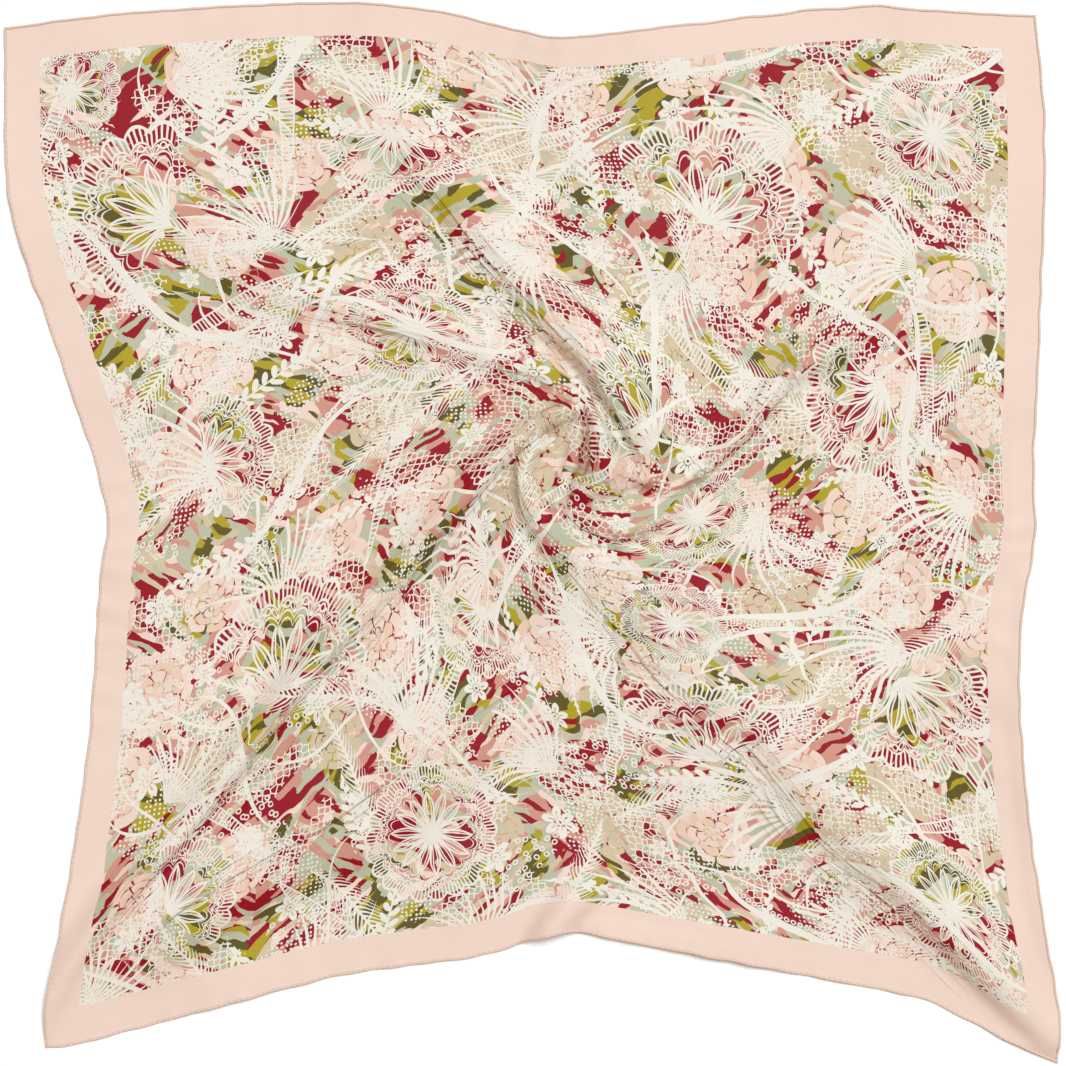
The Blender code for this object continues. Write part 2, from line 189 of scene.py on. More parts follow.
CREASES: dict[str, tuple[Crest, ...]] = {
    # Here a crest's height is how deep the cloth is pinched in.
    "left of the heart": crests(
        (46, 114, 3, 7, 7), (41, 90, 8, 8, 8), (34, 60, 11, 9, 9), (25, 32, 9, 9, 9),
        (24, 8, 2, 8, 8)),
    "under the heart": crests(
        (46, 26, 2, 6, 7), (66, 28, 4, 6, 7), (88, 34, 5, 6, 7), (118, 44, 4, 6, 7),
        (150, 62, 2, 6, 7)),
    "under the upper left fold": crests(
        (-6, 170, 2, 10, 10), (18, 156, 6, 9, 10), (38, 138, 9, 8, 10), (60, 106, 9, 8, 9),
        (76, 84, 6, 7, 9), (86, 64, 2, 7, 8)),
    "left of the lower right fold": crests(
        (-22, 58, 2, 8, 8), (-19, 24, 4, 8, 10), (-4, -6, 3, 8, 12), (26, -40, 1, 8, 12)),
    "beside the lower left fold": crests(
        (-56, 22, 1, 7, 7), (-115, -47, 3, 7, 7), (-192, -135, 6, 7, 7), (-287, -256, 5, 7, 7),
        (-356, -331, 5, 7, 7), (-404, -398, 1, 7, 7)),
    "between the tucks": crests(
        (40, -8, 2, 8, 8), (66, -17, 3, 7, 8), (98, -9, 2, 7, 8), (126, 6, 0, 8, 8)),
}


class Press(NamedTuple):
    """A line where the scarf was folded in its box: its two ends and how high it stands."""

    x: float
    y: float
    end_x: float
    end_y: float
    height: float


PRESSES = (
    Press(-0.237, 0.480, -0.237, 0.250, 0.0006),
    Press(0.180, 0.002, 0.450, 0.006, 0.0006),
    Press(0.220, -0.231, 0.440, -0.226, 0.0005),
    Press(-0.101, 0.115, -0.114, 0.028, 0.0010),
)


class PleatRun(NamedTuple):
    """A run of small soft pleats that start at one side and die out inwards."""

    edge: Edge
    first: float
    last: float
    count: int
    reach: float
    height: float


PLEAT_RUNS = (
    PleatRun(Edge.RIGHT, 0.47, 0.73, 9, 0.038, 0.0022),
    PleatRun(Edge.RIGHT, 0.13, 0.40, 6, 0.026, 0.0011),
    PleatRun(Edge.LEFT, 0.44, 0.70, 9, 0.034, 0.0020),
    PleatRun(Edge.LEFT, 0.16, 0.38, 6, 0.028, 0.0012),
    PleatRun(Edge.BOTTOM, 0.52, 0.84, 9, 0.030, 0.0018),
    PleatRun(Edge.BOTTOM, 0.10, 0.40, 8, 0.030, 0.0016),
    PleatRun(Edge.TOP, 0.44, 0.62, 6, 0.026, 0.0014),
    PleatRun(Edge.TOP, 0.12, 0.36, 6, 0.024, 0.0010),
)


def running(pieces: np.ndarray | list[float]) -> np.ndarray:
    """The running total of the pieces, from 0."""
    return np.concatenate(([0.0], np.cumsum(pieces)))


def through(stations: tuple, steps: int) -> np.ndarray:
    """Points on a smooth curve through the stations.

    Args:
        stations: rows of numbers, one row a station.
        steps: even steps between each two stations.

    Returns:
        The points as rows, the last station among them.
    """
    known = np.array(stations, float)
    padded = np.vstack((2 * known[0] - known[1], known, 2 * known[-1] - known[-2]))
    t = np.arange(steps)[:, None] / steps
    pieces = []
    for before, here, there, after in zip(padded, padded[1:], padded[2:], padded[3:]):
        pieces.append(0.5 * (
            2 * here
            + (there - before) * t
            + (2 * before - 5 * here + 4 * there - after) * t ** 2
            + (3 * here - before - 3 * there + after) * t ** 3
        ))
    return np.vstack((*pieces, known[-1]))


LEAST_FULLNESS, FULLNESS_RANGE = 1.3, 0.7
NARROW_REACH, REACH_RANGE = 0.010, 0.014


def bell(share: np.ndarray) -> np.ndarray:
    """A smooth rise from 0 at a share of 1 to 1 at a share of 0."""
    return 0.5 * (1 + np.cos(np.pi * np.clip(share, 0, 1)))


def fold_section(away: np.ndarray, reach: np.ndarray | float) -> np.ndarray:
    """A fold's section to one side: a full, round flank where it is narrow, a long slope where wide.

    Args:
        away: distance from the crest.
        reach: how far the side reaches.

    Returns:
        The share of the crest's height, from 1 at the crest to 0 where the side ends.
    """
    width = np.clip((reach - NARROW_REACH) / REACH_RANGE, 0, 1)
    fullness = LEAST_FULLNESS + FULLNESS_RANGE * width
    return np.clip(1 - (away / reach) ** 2, 0, 1) ** fullness


@dataclass
class Relief:
    """How high the underside of the cloth lies over the surface at each place."""

    folds: dict[str, tuple[Crest, ...]]
    creases: dict[str, tuple[Crest, ...]]
    presses: tuple[Press, ...]
    pleats: list[tuple[Crest, ...]] = field(default_factory=list)
    merge_power: float = 5
    curve_steps: int = 8
    heap_centre: tuple[float, float] = (0.055, 0.058)
    heap_height: float = 0.0125
    heap_reach: float = 0.190
    press_reach: float = 0.006
    wave_seed: int = 7
    wave_count: int = 12
    wave_lengths: tuple[float, float] = (0.110, 0.300)
    wave_height: float = 0.0007
    spoke_count: int = 9
    spokes_round: tuple[int, int] = (5, 19)
    spoke_height: float = 0.0005
    spoke_lean: float = 6
    spokes_from: float = 0.12       # they are at their full height this far out
    wrinkle_count: int = 8
    wrinkles_round: tuple[int, int] = (14, 36)
    wrinkle_height: float = 0.00035
    wrinkle_lean: tuple[float, float] = (8, 22)
    wave_lift: float = 2.0          # of their height, which keeps the waves above the table
    wrinkle_ring: tuple[float, float] = (0.078, 0.042)  # how far out they are deepest, and how wide

    def fold_lift(self, x: np.ndarray, y: np.ndarray, fold: tuple[Crest, ...]) -> np.ndarray:
        """How high one fold lifts the cloth at each place.

        Args:
            x: places from left to right.
            y: places from front to back.
            fold: the crest's stations.

        Returns:
            The heights, in the places' own shape.
        """
        crest = through(fold, self.curve_steps)
        reach = crest[:, 3:].max()
        near = (
            (x > crest[:, 0].min() - reach) & (x < crest[:, 0].max() + reach)
            & (y > crest[:, 1].min() - reach) & (y < crest[:, 1].max() + reach)
        )
        px, py = x[near], y[near]
        lift = np.zeros(px.shape)
        for here, there in zip(crest, crest[1:]):
            dx, dy = there[0] - here[0], there[1] - here[1]
            share = ((px - here[0]) * dx + (py - here[1]) * dy) / (dx * dx + dy * dy)
            share = np.clip(share, 0, 1)
            off_x, off_y = px - here[0] - share * dx, py - here[1] - share * dy
            height = here[2] + (there[2] - here[2]) * share
            left = here[3] + (there[3] - here[3]) * share
            right = here[4] + (there[4] - here[4]) * share
            side = np.where(dx * off_y - dy * off_x > 0, left, right)
            rise = np.maximum(height, 0) * fold_section(np.hypot(off_x, off_y), side)
            lift = np.maximum(lift, rise)
        whole = np.zeros(x.shape)
        whole[near] = lift
        return whole

    def waves(self, x: np.ndarray, y: np.ndarray) -> np.ndarray:
        """The slight waviness of soft cloth: broad swells, spokes, and wrinkles by the twist.

        Args:
            x: places from left to right.
            y: places from front to back.

        Returns:
            How far each place is lifted, which is never under 0.
        """
        rng = np.random.default_rng(self.wave_seed)
        total = np.zeros(x.shape)
        for _ in range(self.wave_count):
            length = rng.uniform(*self.wave_lengths)
            way, start = rng.uniform(0, FULL_TURN, 2)
            along = x * math.cos(way) + y * math.sin(way)
            total += self.wave_height * np.sin(FULL_TURN * along / length + start)
        off_x, off_y = x - self.heap_centre[0], y - self.heap_centre[1]
        angle, away = np.arctan2(off_y, off_x), np.hypot(off_x, off_y)
        reach = np.clip(away / self.spokes_from, 0, 1) ** 2
        for _ in range(self.spoke_count):
            number = rng.integers(*self.spokes_round)
            start, lean = rng.uniform(0, FULL_TURN), rng.uniform(-self.spoke_lean, self.spoke_lean)
            total += reach * self.spoke_height * np.sin(number * angle + lean * away + start)
        middle, spread = self.wrinkle_ring
        ring = np.exp(-((away - middle) / spread) ** 2)
        for _ in range(self.wrinkle_count):
            number = rng.integers(*self.wrinkles_round)
            start, lean = rng.uniform(0, FULL_TURN), rng.uniform(*self.wrinkle_lean)
            total += ring * self.wrinkle_height * np.sin(number * angle + lean * away + start)
        soft = self.wave_height
        return soft * np.logaddexp(0, total / soft + self.wave_lift)

    def press_lift(self, x: np.ndarray, y: np.ndarray, press: Press) -> np.ndarray:
        """The low ridge that a pressed line leaves.

        Args:
            x: places from left to right.
            y: places from front to back.
            press: the pressed line.

        Returns:
            The heights, in the places' own shape.
        """
        dx, dy = press.end_x - press.x, press.end_y - press.y
        share = ((x - press.x) * dx + (y - press.y) * dy) / (dx * dx + dy * dy)
        fade = np.clip(4 * (0.5 - np.abs(share - 0.5)), 0, 1)
        share = np.clip(share, 0, 1)
        away = np.hypot(x - press.x - share * dx, y - press.y - share * dy)
        return press.height * fade * fold_section(away, self.press_reach)

    def main(self, x: np.ndarray, y: np.ndarray) -> np.ndarray:
        """Height of the folds and of the heap of hidden layers under the twist.

        Args:
            x: places from left to right.
            y: places from front to back.

        Returns:
            The heights, in the places' own shape.
        """
        folds = (*self.folds.values(), *self.pleats)
        total = sum(self.fold_lift(x, y, fold) ** self.merge_power for fold in folds)
        away = np.hypot(x - self.heap_centre[0], y - self.heap_centre[1])
        lift = total ** (1 / self.merge_power) + self.heap_height * bell(away / self.heap_reach)
        for crease in self.creases.values():
            lift = lift - self.fold_lift(x, y, crease)
        for press in self.presses:
            lift = lift + self.press_lift(x, y, press)
        return np.maximum(lift, 0) + self.waves(x, y)


def shares(cells: int, middle: float, reach: float, growth: float) -> np.ndarray:
    """Shares of a side where its cells end, closest together within reach of the middle.

    Args:
        cells: how many there are.
        middle: the share at which they are closest.
        reach: how far from it they are close.
        growth: how much wider they get.

    Returns:
        The shares from 0 to 1, one more than there are cells.
    """
    centres = (np.arange(cells) + 0.5) / cells
    for _ in range(6):
        widths = 1 + growth * (1 - np.exp(-((centres - middle) / reach) ** 2))
        ends = running(widths)
        ends /= ends[-1]
        centres = (ends[1:] + ends[:-1]) / 2
    return ends


@dataclass
class Outline:
    """The laid-out scarf's outline, with even steps along the cloth in each side."""

    fine_steps: int = 60
    pucker_count: int = 9
    pucker_lengths: tuple[float, float] = (0.022, 0.075)
    pucker_depth: float = 0.00013
    offset: np.ndarray = field(default_factory=lambda: np.zeros(2))

    def __post_init__(self) -> None:
        """Centre the outline on its box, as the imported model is."""
        loop = np.vstack([self.curve(edge) for edge in Edge])
        self.offset = -(loop.min(axis=0) + loop.max(axis=0)) / 2

    def curve(self, edge: Edge) -> np.ndarray:
        """A side's own line from its start to its end, finely stepped, with its small puckers.

        Args:
            edge: the side.

        Returns:
            The points as rows.
        """
        side = SIDES[edge]
        start = np.array(side.start)
        chord = np.array(side.end) - start
        inward = np.array((-chord[1], chord[0])) * side.inward_turn / np.linalg.norm(chord)
        share, bow = through(side.bows, self.fine_steps).T
        rng = np.random.default_rng(list(Edge).index(edge))
        fade = np.clip(20 * (0.5 - np.abs(share - 0.5)), 0, 1) * self.pucker_depth
        for _ in range(self.pucker_count):
            phase = FULL_TURN * (share * CUT_SIDE / rng.uniform(*self.pucker_lengths))
            bow = bow + fade * np.sin(phase + rng.uniform(0, FULL_TURN))
        return start + np.outer(share, chord) + np.outer(bow, inward) + self.offset

    def along(self, edge: Edge, at: np.ndarray) -> np.ndarray:
        """Points of a side at shares of its length along the cloth.

        Args:
            edge: the side.
            at: the shares.

        Returns:
            The points as rows.
        """
        line = self.curve(edge)
        run = running(np.linalg.norm(np.diff(line, axis=0), axis=1))
        run /= run[-1]
        return np.column_stack((np.interp(at, run, line[:, 0]), np.interp(at, run, line[:, 1])))

    def loop(self, across: np.ndarray, down: np.ndarray) -> np.ndarray:
        """The whole outline as one loop, clockwise from the top left corner.

        Args:
            across: shares of the top and bottom sides.
            down: shares of the left and right sides.

        Returns:
            The points as rows.
        """
        return np.vstack((
            self.along(Edge.TOP, across)[:-1],
            self.along(Edge.RIGHT, down)[:-1],
            self.along(Edge.BOTTOM, across)[:0:-1],
            self.along(Edge.LEFT, down)[:0:-1],
        ))


def pleat_folds(outline: Outline, run: PleatRun, seed: int) -> list[tuple[Crest, ...]]:
    """The crests of a run of pleats, each a little out of step with the next.

    Args:
        outline: the outline that they start from.
        run: the run's own sizes.
        seed: starts the random numbers that set them out of step.

    Returns:
        The crests, one a pleat.
    """
    rng = np.random.default_rng(seed)
    pitch = (run.last - run.first) / run.count
    at = run.first + pitch * (np.arange(run.count) + rng.uniform(0.2, 0.8, run.count))
    start = outline.along(run.edge, at)
    ahead = outline.along(run.edge, at + 0.004) - start
    ahead /= np.linalg.norm(ahead, axis=1)[:, None]
    turn = SIDES[run.edge].inward_turn
    inward = np.column_stack((-ahead[:, 1], ahead[:, 0])) * turn
    inward = inward + ahead * rng.uniform(-0.35, 0.35, run.count)[:, None]
    wide = pitch * CUT_SIDE * 0.45
    pleats = []
    for (x, y), (way_x, way_y), share in zip(start, inward, rng.uniform(0.5, 1.0, run.count)):
        reach = run.reach * (0.6 + 0.7 * share)
        pleats.append(tuple(
            Crest(x + way_x * reach * out, y + way_y * reach * out,
                  run.height * share * height, wide, wide)
            for out, height in ((-0.2, 0.9), (0.0, 1.0), (0.45, 0.75), (1.0, 0.0))))
    return pleats


def inward_rays(loop: np.ndarray) -> np.ndarray:
    """For each point of a clockwise loop, the mitred way in that moves every side by one unit.

    Args:
        loop: the points as rows.

    Returns:
        A ray for each point.
    """
    ahead = np.roll(loop, -1, axis=0) - loop
    ahead /= np.linalg.norm(ahead, axis=1)[:, None]
    normals = np.column_stack((ahead[:, 1], -ahead[:, 0]))
    rays = normals + np.roll(normals, 1, axis=0)
    rays /= np.linalg.norm(rays, axis=1)[:, None]
    return rays / np.sum(rays * normals, axis=1)[:, None]


@dataclass
class FlatCut:
    """Carries the flat cut onto the laid-out scarf: the outline first, then the twist.

    The cut's own coordinates are shares of its side, u from the left and v from the top.
    """

    relief: Relief
    outline: Outline
    cells: int = 220
    growth: float = 1.5
    finest: tuple[float, float] = (0.57, 0.47)
    finest_reach: float = 0.16
    edge_inset: float = 0.00225
    twist_centre: tuple[float, float] = (0.050, 0.050)
    twist_turn: float = math.radians(66)
    twist_reach: float = 0.092
    twist_fade: tuple[float, float] = (0.25, 0.40)
    settle_steps: int = 26
    shear_hold: float = 0.05
    slide: float = 1.9              # of what the threads pull; over 1 settles sooner

    def spun(self, plan: np.ndarray) -> np.ndarray:
        """Turn the plan places clockwise round the twist, most at its middle.

        Args:
            plan: the places.

        Returns:
            The places after the turn.
        """
        away = plan - np.array(self.twist_centre)
        r = np.hypot(away[..., 0], away[..., 1])
        near, far = self.twist_fade
        turn = -self.twist_turn * np.exp(-r / self.twist_reach)
        turn = turn * np.clip((far - r) / (far - near), 0, 1)
        c, s = np.cos(turn), np.sin(turn)
        return np.stack((
            self.twist_centre[0] + c * away[..., 0] - s * away[..., 1],
            self.twist_centre[1] + s * away[..., 0] + c * away[..., 1],
        ), -1)

    def filled(self, across: np.ndarray, down: np.ndarray) -> np.ndarray:
        """Plan places of a grid, filled in evenly from the four sides of the outline.

        Args:
            across: shares of the cut at the grid's columns.
            down: shares of the cut at its rows.

        Returns:
            The places, by column and row.
        """
        loop = self.outline.loop(across, down)
        loop = loop + inward_rays(loop) * self.edge_inset
        loop = np.vstack((loop, loop[:1]))
        a, d = len(across) - 1, len(down) - 1
        top, right = loop[:a + 1], loop[a:a + d + 1]
        bottom, left = loop[a + d:2 * a + d + 1][::-1], loop[2 * a + d:][::-1]
        u, v = across[:, None, None], down[None, :, None]
        ruled = (1 - v) * top[:, None] + v * bottom[:, None]
        ruled = ruled + (1 - u) * left[None, :] + u * right[None, :]
        corners = (1 - u) * (1 - v) * top[0] + u * (1 - v) * top[-1]
        corners = corners + (1 - u) * v * bottom[0] + u * v * bottom[-1]
        return ruled - corners

    def settled(self, plan: np.ndarray, across: np.ndarray, down: np.ndarray) -> np.ndarray:
        """Let the cloth slide on its folds until each thread is near its own length again.

        Args:
            plan: plan places of the grid, which keep their outline.
            across: shares of the cut at the grid's columns.
            down: shares of the cut at its rows.

        Returns:
            The grid's places in plan after the slide.
        """
        step_u, step_v = np.diff(across) * CUT_SIDE, np.diff(down) * CUT_SIDE
        slant = np.hypot(step_u[:, None], step_v[None])
        all_of, but_last, but_first = slice(None), slice(0, -1), slice(1, None)
        threads = (
            ((but_last, all_of), (but_first, all_of), step_u[:, None], 1.0),
            ((all_of, but_last), (all_of, but_first), step_v[None], 1.0),
            ((but_last, but_last), (but_first, but_first), slant, self.shear_hold),
            ((but_first, but_last), (but_last, but_first), slant, self.shear_hold),
        )
        places = np.dstack((plan, self.relief.main(plan[..., 0], plan[..., 1])))
        for _ in range(self.settle_steps):
            moved = np.zeros_like(places)
            held = np.zeros((*places.shape[:2], 1))
            for start, end, length, weight in threads:
                span = places[end] - places[start]
                now = np.linalg.norm(span, axis=2, keepdims=True)
                pull = 0.5 * weight * (now - length[..., None]) / np.maximum(now, 1e-9) * span
                moved[start] += pull
                moved[end] -= pull
                held[start] += weight
                held[end] += weight
            moved *= self.slide / held
            moved[0] = moved[-1] = 0
            moved[:, 0] = moved[:, -1] = 0
            places = places + moved
            places[..., 2] = self.relief.main(places[..., 0], places[..., 1])
        return places[..., :2]

    @staticmethod
    def doubled(rows: np.ndarray) -> np.ndarray:
        """Rows with a smooth in-between row after each but the last.

        Args:
            rows: the rows, two at least.

        Returns:
            One less than twice as many rows.
        """
        padded = np.concatenate((2 * rows[:1] - rows[1:2], rows, 2 * rows[-1:] - rows[-2:-1]))
        between = (9 * (padded[1:-2] + padded[2:-1]) - padded[:-3] - padded[3:]) / 16
        whole = np.empty((2 * len(rows) - 1, *rows.shape[1:]))
        whole[::2], whole[1::2] = rows, between
        return whole

    def laid(self) -> tuple[np.ndarray, np.ndarray, np.ndarray]:
        """Shares across, shares down, and the plan places of the fine grid between them.

        Returns:
            The shares at the columns and at the rows, and the places by column and row.
        """
        across, down = (shares(self.cells, middle, self.finest_reach, self.growth)
                        for middle in self.finest)
        coarse = self.spun(self.filled(across[::2], down[::2]))
        coarse = self.settled(coarse, across[::2], down[::2])
        fine = self.doubled(self.doubled(coarse).swapaxes(0, 1)).swapaxes(0, 1)
        rim = self.filled(across, down)
        fine[0], fine[-1] = rim[0], rim[-1]
        fine[:, 0], fine[:, -1] = rim[:, 0], rim[:, -1]
        return across, down, fine


# ---------------------------------------------------------------------------------------------
# The print's marks, in millimetres from the middle of the flat cut, y up
# ---------------------------------------------------------------------------------------------

class Motif(NamedTuple):
    """A round motif: its middle, its turn in degrees, and the share of a full round it opens to."""

    x: float
    y: float
    radius: float
    turn: float
    opening: float = 1.0


class Stroke(NamedTuple):
    """A drawn line, whose bend in radians a millimetre changes evenly from its start to its end."""

    x: float
    y: float
    heading: float
    length: float
    bend_in: float
    bend_out: float
    width: float


@dataclass(frozen=True)
class Strewing:
    """A rule that strews marks over the cut, one to each place of a loose grid."""

    seed: int
    pitch: float
    jitter: float
    reach: float = 430

    def places(self, rng: np.random.Generator) -> Iterator[tuple[float, float]]:
        """The places, row by row, each moved a little from its own place on the grid.

        Args:
            rng: moves them.

        Returns:
            Each place's x and y in turn.
        """
        row_pitch = self.pitch * math.sqrt(0.75)
        for row in range(int(2 * self.reach / row_pitch) + 1):
            for column in range(int(2 * self.reach / self.pitch) + 1):
                x = -self.reach + self.pitch * (column + 0.5 * (row % 2))
                y = -self.reach + row_pitch * row
                yield x + rng.uniform(-self.jitter, self.jitter), \
                    y + rng.uniform(-self.jitter, self.jitter)

    def motifs(self, smallest: float, largest: float) -> tuple[Motif, ...]:
        """Round motifs, each with a turn and a chance number of its own in place of an opening.

        Args:
            smallest: the least radius.
            largest: the greatest radius.

        Returns:
            The motifs.
        """
        rng = np.random.default_rng(self.seed)
        return tuple(
            Motif(x, y, rng.uniform(smallest, largest), rng.uniform(0, 360), rng.uniform(0, 1))
            for x, y in self.places(rng))

    def tufts(self, smallest: float, largest: float,
              clear_of: tuple[float, float], clear: float = 70,
              swing: float = 60) -> tuple[Motif, ...]:
        """Round motifs turned the way that the strokes run, with none near one place.

        Args:
            smallest: the least radius.
            largest: the greatest radius.
            clear_of: the place that has none near it.
            clear: how far from that place the nearest may be.
            swing: degrees over which they turn from the drawn way.

        Returns:
            The motifs.
        """
        return tuple(
            m._replace(turn=drawn_way(m.x, m.y) + swing * (m.opening - 0.5), opening=1.0)
            for m in self.motifs(smallest, largest)
            if math.hypot(m.x - clear_of[0], m.y - clear_of[1]) > clear)

    def strokes(self, length: tuple[float, float], bend: tuple[float, float],
                width: tuple[float, float], swing: float) -> tuple[Stroke, ...]:
        """Strokes that swing one way and back again, each with its middle on a place.

        Args:
            length: the shortest and the longest.
            bend: the softest and the hardest, in radians a millimetre.
            width: the narrowest and the widest, from the stroke's middle line.
            swing: degrees by which a stroke may leave the drawn way.

        Returns:
            The strokes.
        """
        rng = np.random.default_rng(self.seed)
        strokes = []
        for x, y in self.places(rng):
            long = rng.uniform(*length)
            way = drawn_way(x, y) + rng.uniform(-swing, swing)
            way += 180 if rng.uniform() < 0.5 else 0
            bend_in, bend_out = rng.uniform(*bend), rng.uniform(*bend)
            hand = 1 if rng.uniform() < 0.5 else -1
            back_x = math.cos(math.radians(way)) * long / 2
            back_y = math.sin(math.radians(way)) * long / 2
            strokes.append(Stroke(x - back_x, y - back_y, way, long, hand * bend_in,
                                  -hand * bend_out, rng.uniform(*width)))
        return tuple(strokes)


MEAN_WAY = 40                       # degrees
WAY_ACROSS = (70, 150, 0.6)         # degrees that it swings, mm a radian, and its start
WAY_UP = (60, 130, -0.4)


def drawn_way(x: float, y: float) -> float:
    """The heading, in degrees, that strokes take near a place of the cut."""
    (wide, pace, start), (high, rise, first) = WAY_ACROSS, WAY_UP
    return MEAN_WAY + wide * math.sin(x / pace + start) + high * math.cos(y / rise + first)


LACE_FANS = (
    Motif(-318, 262, 92, 62, 0.41),
    Motif(-120, 330, 66, 170, 0.41),
    Motif(132, 268, 98, -28, 0.41),
    Motif(352, 338, 58, 100),
    Motif(300, 120, 84, 128, 0.41),
    Motif(-352, 40, 70, -80, 0.41),
    Motif(-150, 120, 60, 20),
    Motif(60, 70, 82, 60, 0.41),
    Motif(330, -150, 92, -140, 0.41),
    Motif(-262, -178, 96, -20, 0.41),
    Motif(-40, -140, 62, 150, 0.41),
    Motif(160, -250, 86, 20, 0.41),
    Motif(-110, -330, 64, 5),
    Motif(352, -352, 60, 30),
    Motif(-352, -350, 66, -60, 0.41),
    Motif(140, -105, 46, 0),
    Motif(126, 14, 50, -40),
    Motif(-392, 388, 44, 0),
)


@dataclass(frozen=True)
class CutCells:
    """The cells of the cloth on the flat cut: the middle and the four corners of each."""

    middles: np.ndarray
    corners: np.ndarray

    @classmethod
    def of(cls, places: np.ndarray) -> "CutCells":
        """Cells from the places of their corners, four to each."""
        corners = places.reshape(-1, 4, 2)
        return cls(corners.mean(axis=1), corners)

    def from_motifs(self, motifs: tuple[Motif, ...], clear: float = 8) -> np.ndarray:
        """Each corner's place in the motif whose rim is nearest to its cell.

        Args:
            motifs: the motifs of one layer.
            clear: how far outside a rim a cell may be before it belongs to no motif.

        Returns:
            For each corner of each cell, x and y in radii of its motif, and the motif's opening.
        """
        table = np.array(motifs)
        nearest = np.full(len(self.middles), np.inf)
        owner = np.zeros(len(self.middles), int)
        for number, motif in enumerate(motifs):
            away = np.hypot(*(self.middles - (motif.x, motif.y)).T) - motif.radius
            closer = away < nearest
            nearest[closer] = away[closer]
            owner[closer] = number
        radius, turn, opening = table[owner, 2:].T[..., None]
        off = self.corners - table[owner, None, :2]
        c, s = np.cos(np.radians(turn)), np.sin(np.radians(turn))
        places = np.stack((
            (off[..., 0] * c + off[..., 1] * s) / radius,
            (off[..., 1] * c - off[..., 0] * s) / radius,
            np.broadcast_to(opening, off.shape[:2]),
        ), -1)
        places[nearest > clear] = (9, 9, 0)
        return places

    def from_strokes(self, strokes: tuple[Stroke, ...], clear: float = 9) -> np.ndarray:
        """Each corner's place along and beside the stroke nearest to its cell.

        Args:
            strokes: the strokes of one layer.
            clear: how far outside the widest stroke a cell may be before it belongs to none.

        Returns:
            For each corner of each cell, its run along the stroke, how far it lies to the
            left of the stroke, and the stroke's half width there.
        """
        widest = max(stroke.width for stroke in strokes)
        return self.from_lines([stroke_line(stroke) for stroke in strokes], widest + clear)

    def from_lines(self, lines: list[np.ndarray], clear: float) -> np.ndarray:
        """Each corner's place along and beside the line nearest to its cell.

        Args:
            lines: points along each line, each with its x, y, run and one more number.
            clear: how far from a line a cell may be before it belongs to none.

        Returns:
            For each corner of each cell, its run along the line, how far it lies to the left
            of the line, and the line's last number there.
        """
        sizes = [len(line) for line in lines]
        ends = np.cumsum(sizes)
        lowest, highest = np.repeat(ends - sizes, sizes), np.repeat(ends - 2, sizes)
        points = np.vstack(lines)
        finder = KDTree(len(points))
        for number, point in enumerate(points):
            finder.insert((point[0], point[1], 0), number)
        finder.balance()
        found = [finder.find((x, y, 0))[1:] for x, y in self.middles.tolist()]
        number, distance = np.array(found).T
        number = number.astype(int)
        nearest = np.full(self.corners.shape[:2], np.inf)
        places = np.zeros((*nearest.shape, 3))
        for step in range(-4, 4):
            pick = np.clip(number + step, lowest[number], highest[number])
            here, there = points[pick][:, None], points[pick + 1][:, None]
            way = there - here
            off = self.corners - here[..., :2]
            share = (off * way[..., :2]).sum(-1) / (way[..., :2] ** 2).sum(-1)
            share = np.clip(share, 0, 1)[..., None]
            off = off - share * way[..., :2]
            away = np.hypot(off[..., 0], off[..., 1])
            side = np.sign(way[..., 0] * off[..., 1] - way[..., 1] * off[..., 0])
            run, last = np.moveaxis((here + share * way)[..., 2:], -1, 0)
            closer = away < nearest
            nearest[closer] = away[closer]
            places[closer] = np.stack((run, away * side, last), -1)[closer]
        places[distance > clear] = (0, 99, 0.01)
        return places


def stroke_line(stroke: Stroke, step: float = 3.0) -> np.ndarray:
    """Points along a stroke, each with its x, y, run and half width, thin at both ends.

    Args:
        stroke: the stroke.
        step: the most between two points.

    Returns:
        The points as rows.
    """
    count = max(int(stroke.length / step), 8)
    at = np.arange(count + 1) / count
    piece = stroke.length / count
    bend = stroke.bend_in + (stroke.bend_out - stroke.bend_in) * (at[1:] + at[:-1]) / 2
    turned = running(bend * piece)
    heading = math.radians(stroke.heading) + (turned[1:] + turned[:-1]) / 2
    x = stroke.x + running(np.cos(heading) * piece)
    y = stroke.y + running(np.sin(heading) * piece)
    swell = np.clip(np.sin(np.pi * at ** 0.8), 0.06, 1) ** 0.8
    return np.column_stack((x, y, at * stroke.length, stroke.width * swell))


def carry_vectors(mesh: bpy.types.Mesh, name: str, vectors: np.ndarray) -> None:
    """Give each corner of a mesh's cells a vector, under a name."""
    mesh.attributes.new(name, "FLOAT_VECTOR", "CORNER").data.foreach_set("vector", vectors.ravel())


# ---------------------------------------------------------------------------------------------
# Drawing with nodes
# ---------------------------------------------------------------------------------------------

Colour = tuple[float, float, float, float]


class NodeKind(NamedTuple):
    """A node's type, its settings, and the sockets that a step's values go to in turn."""

    type_name: str
    settings: dict[str, object] = {}
    order: tuple[int, ...] = (0, 1, 2)


VORONOI, FLAT = "ShaderNodeTexVoronoi", {"voronoi_dimensions": "2D"}

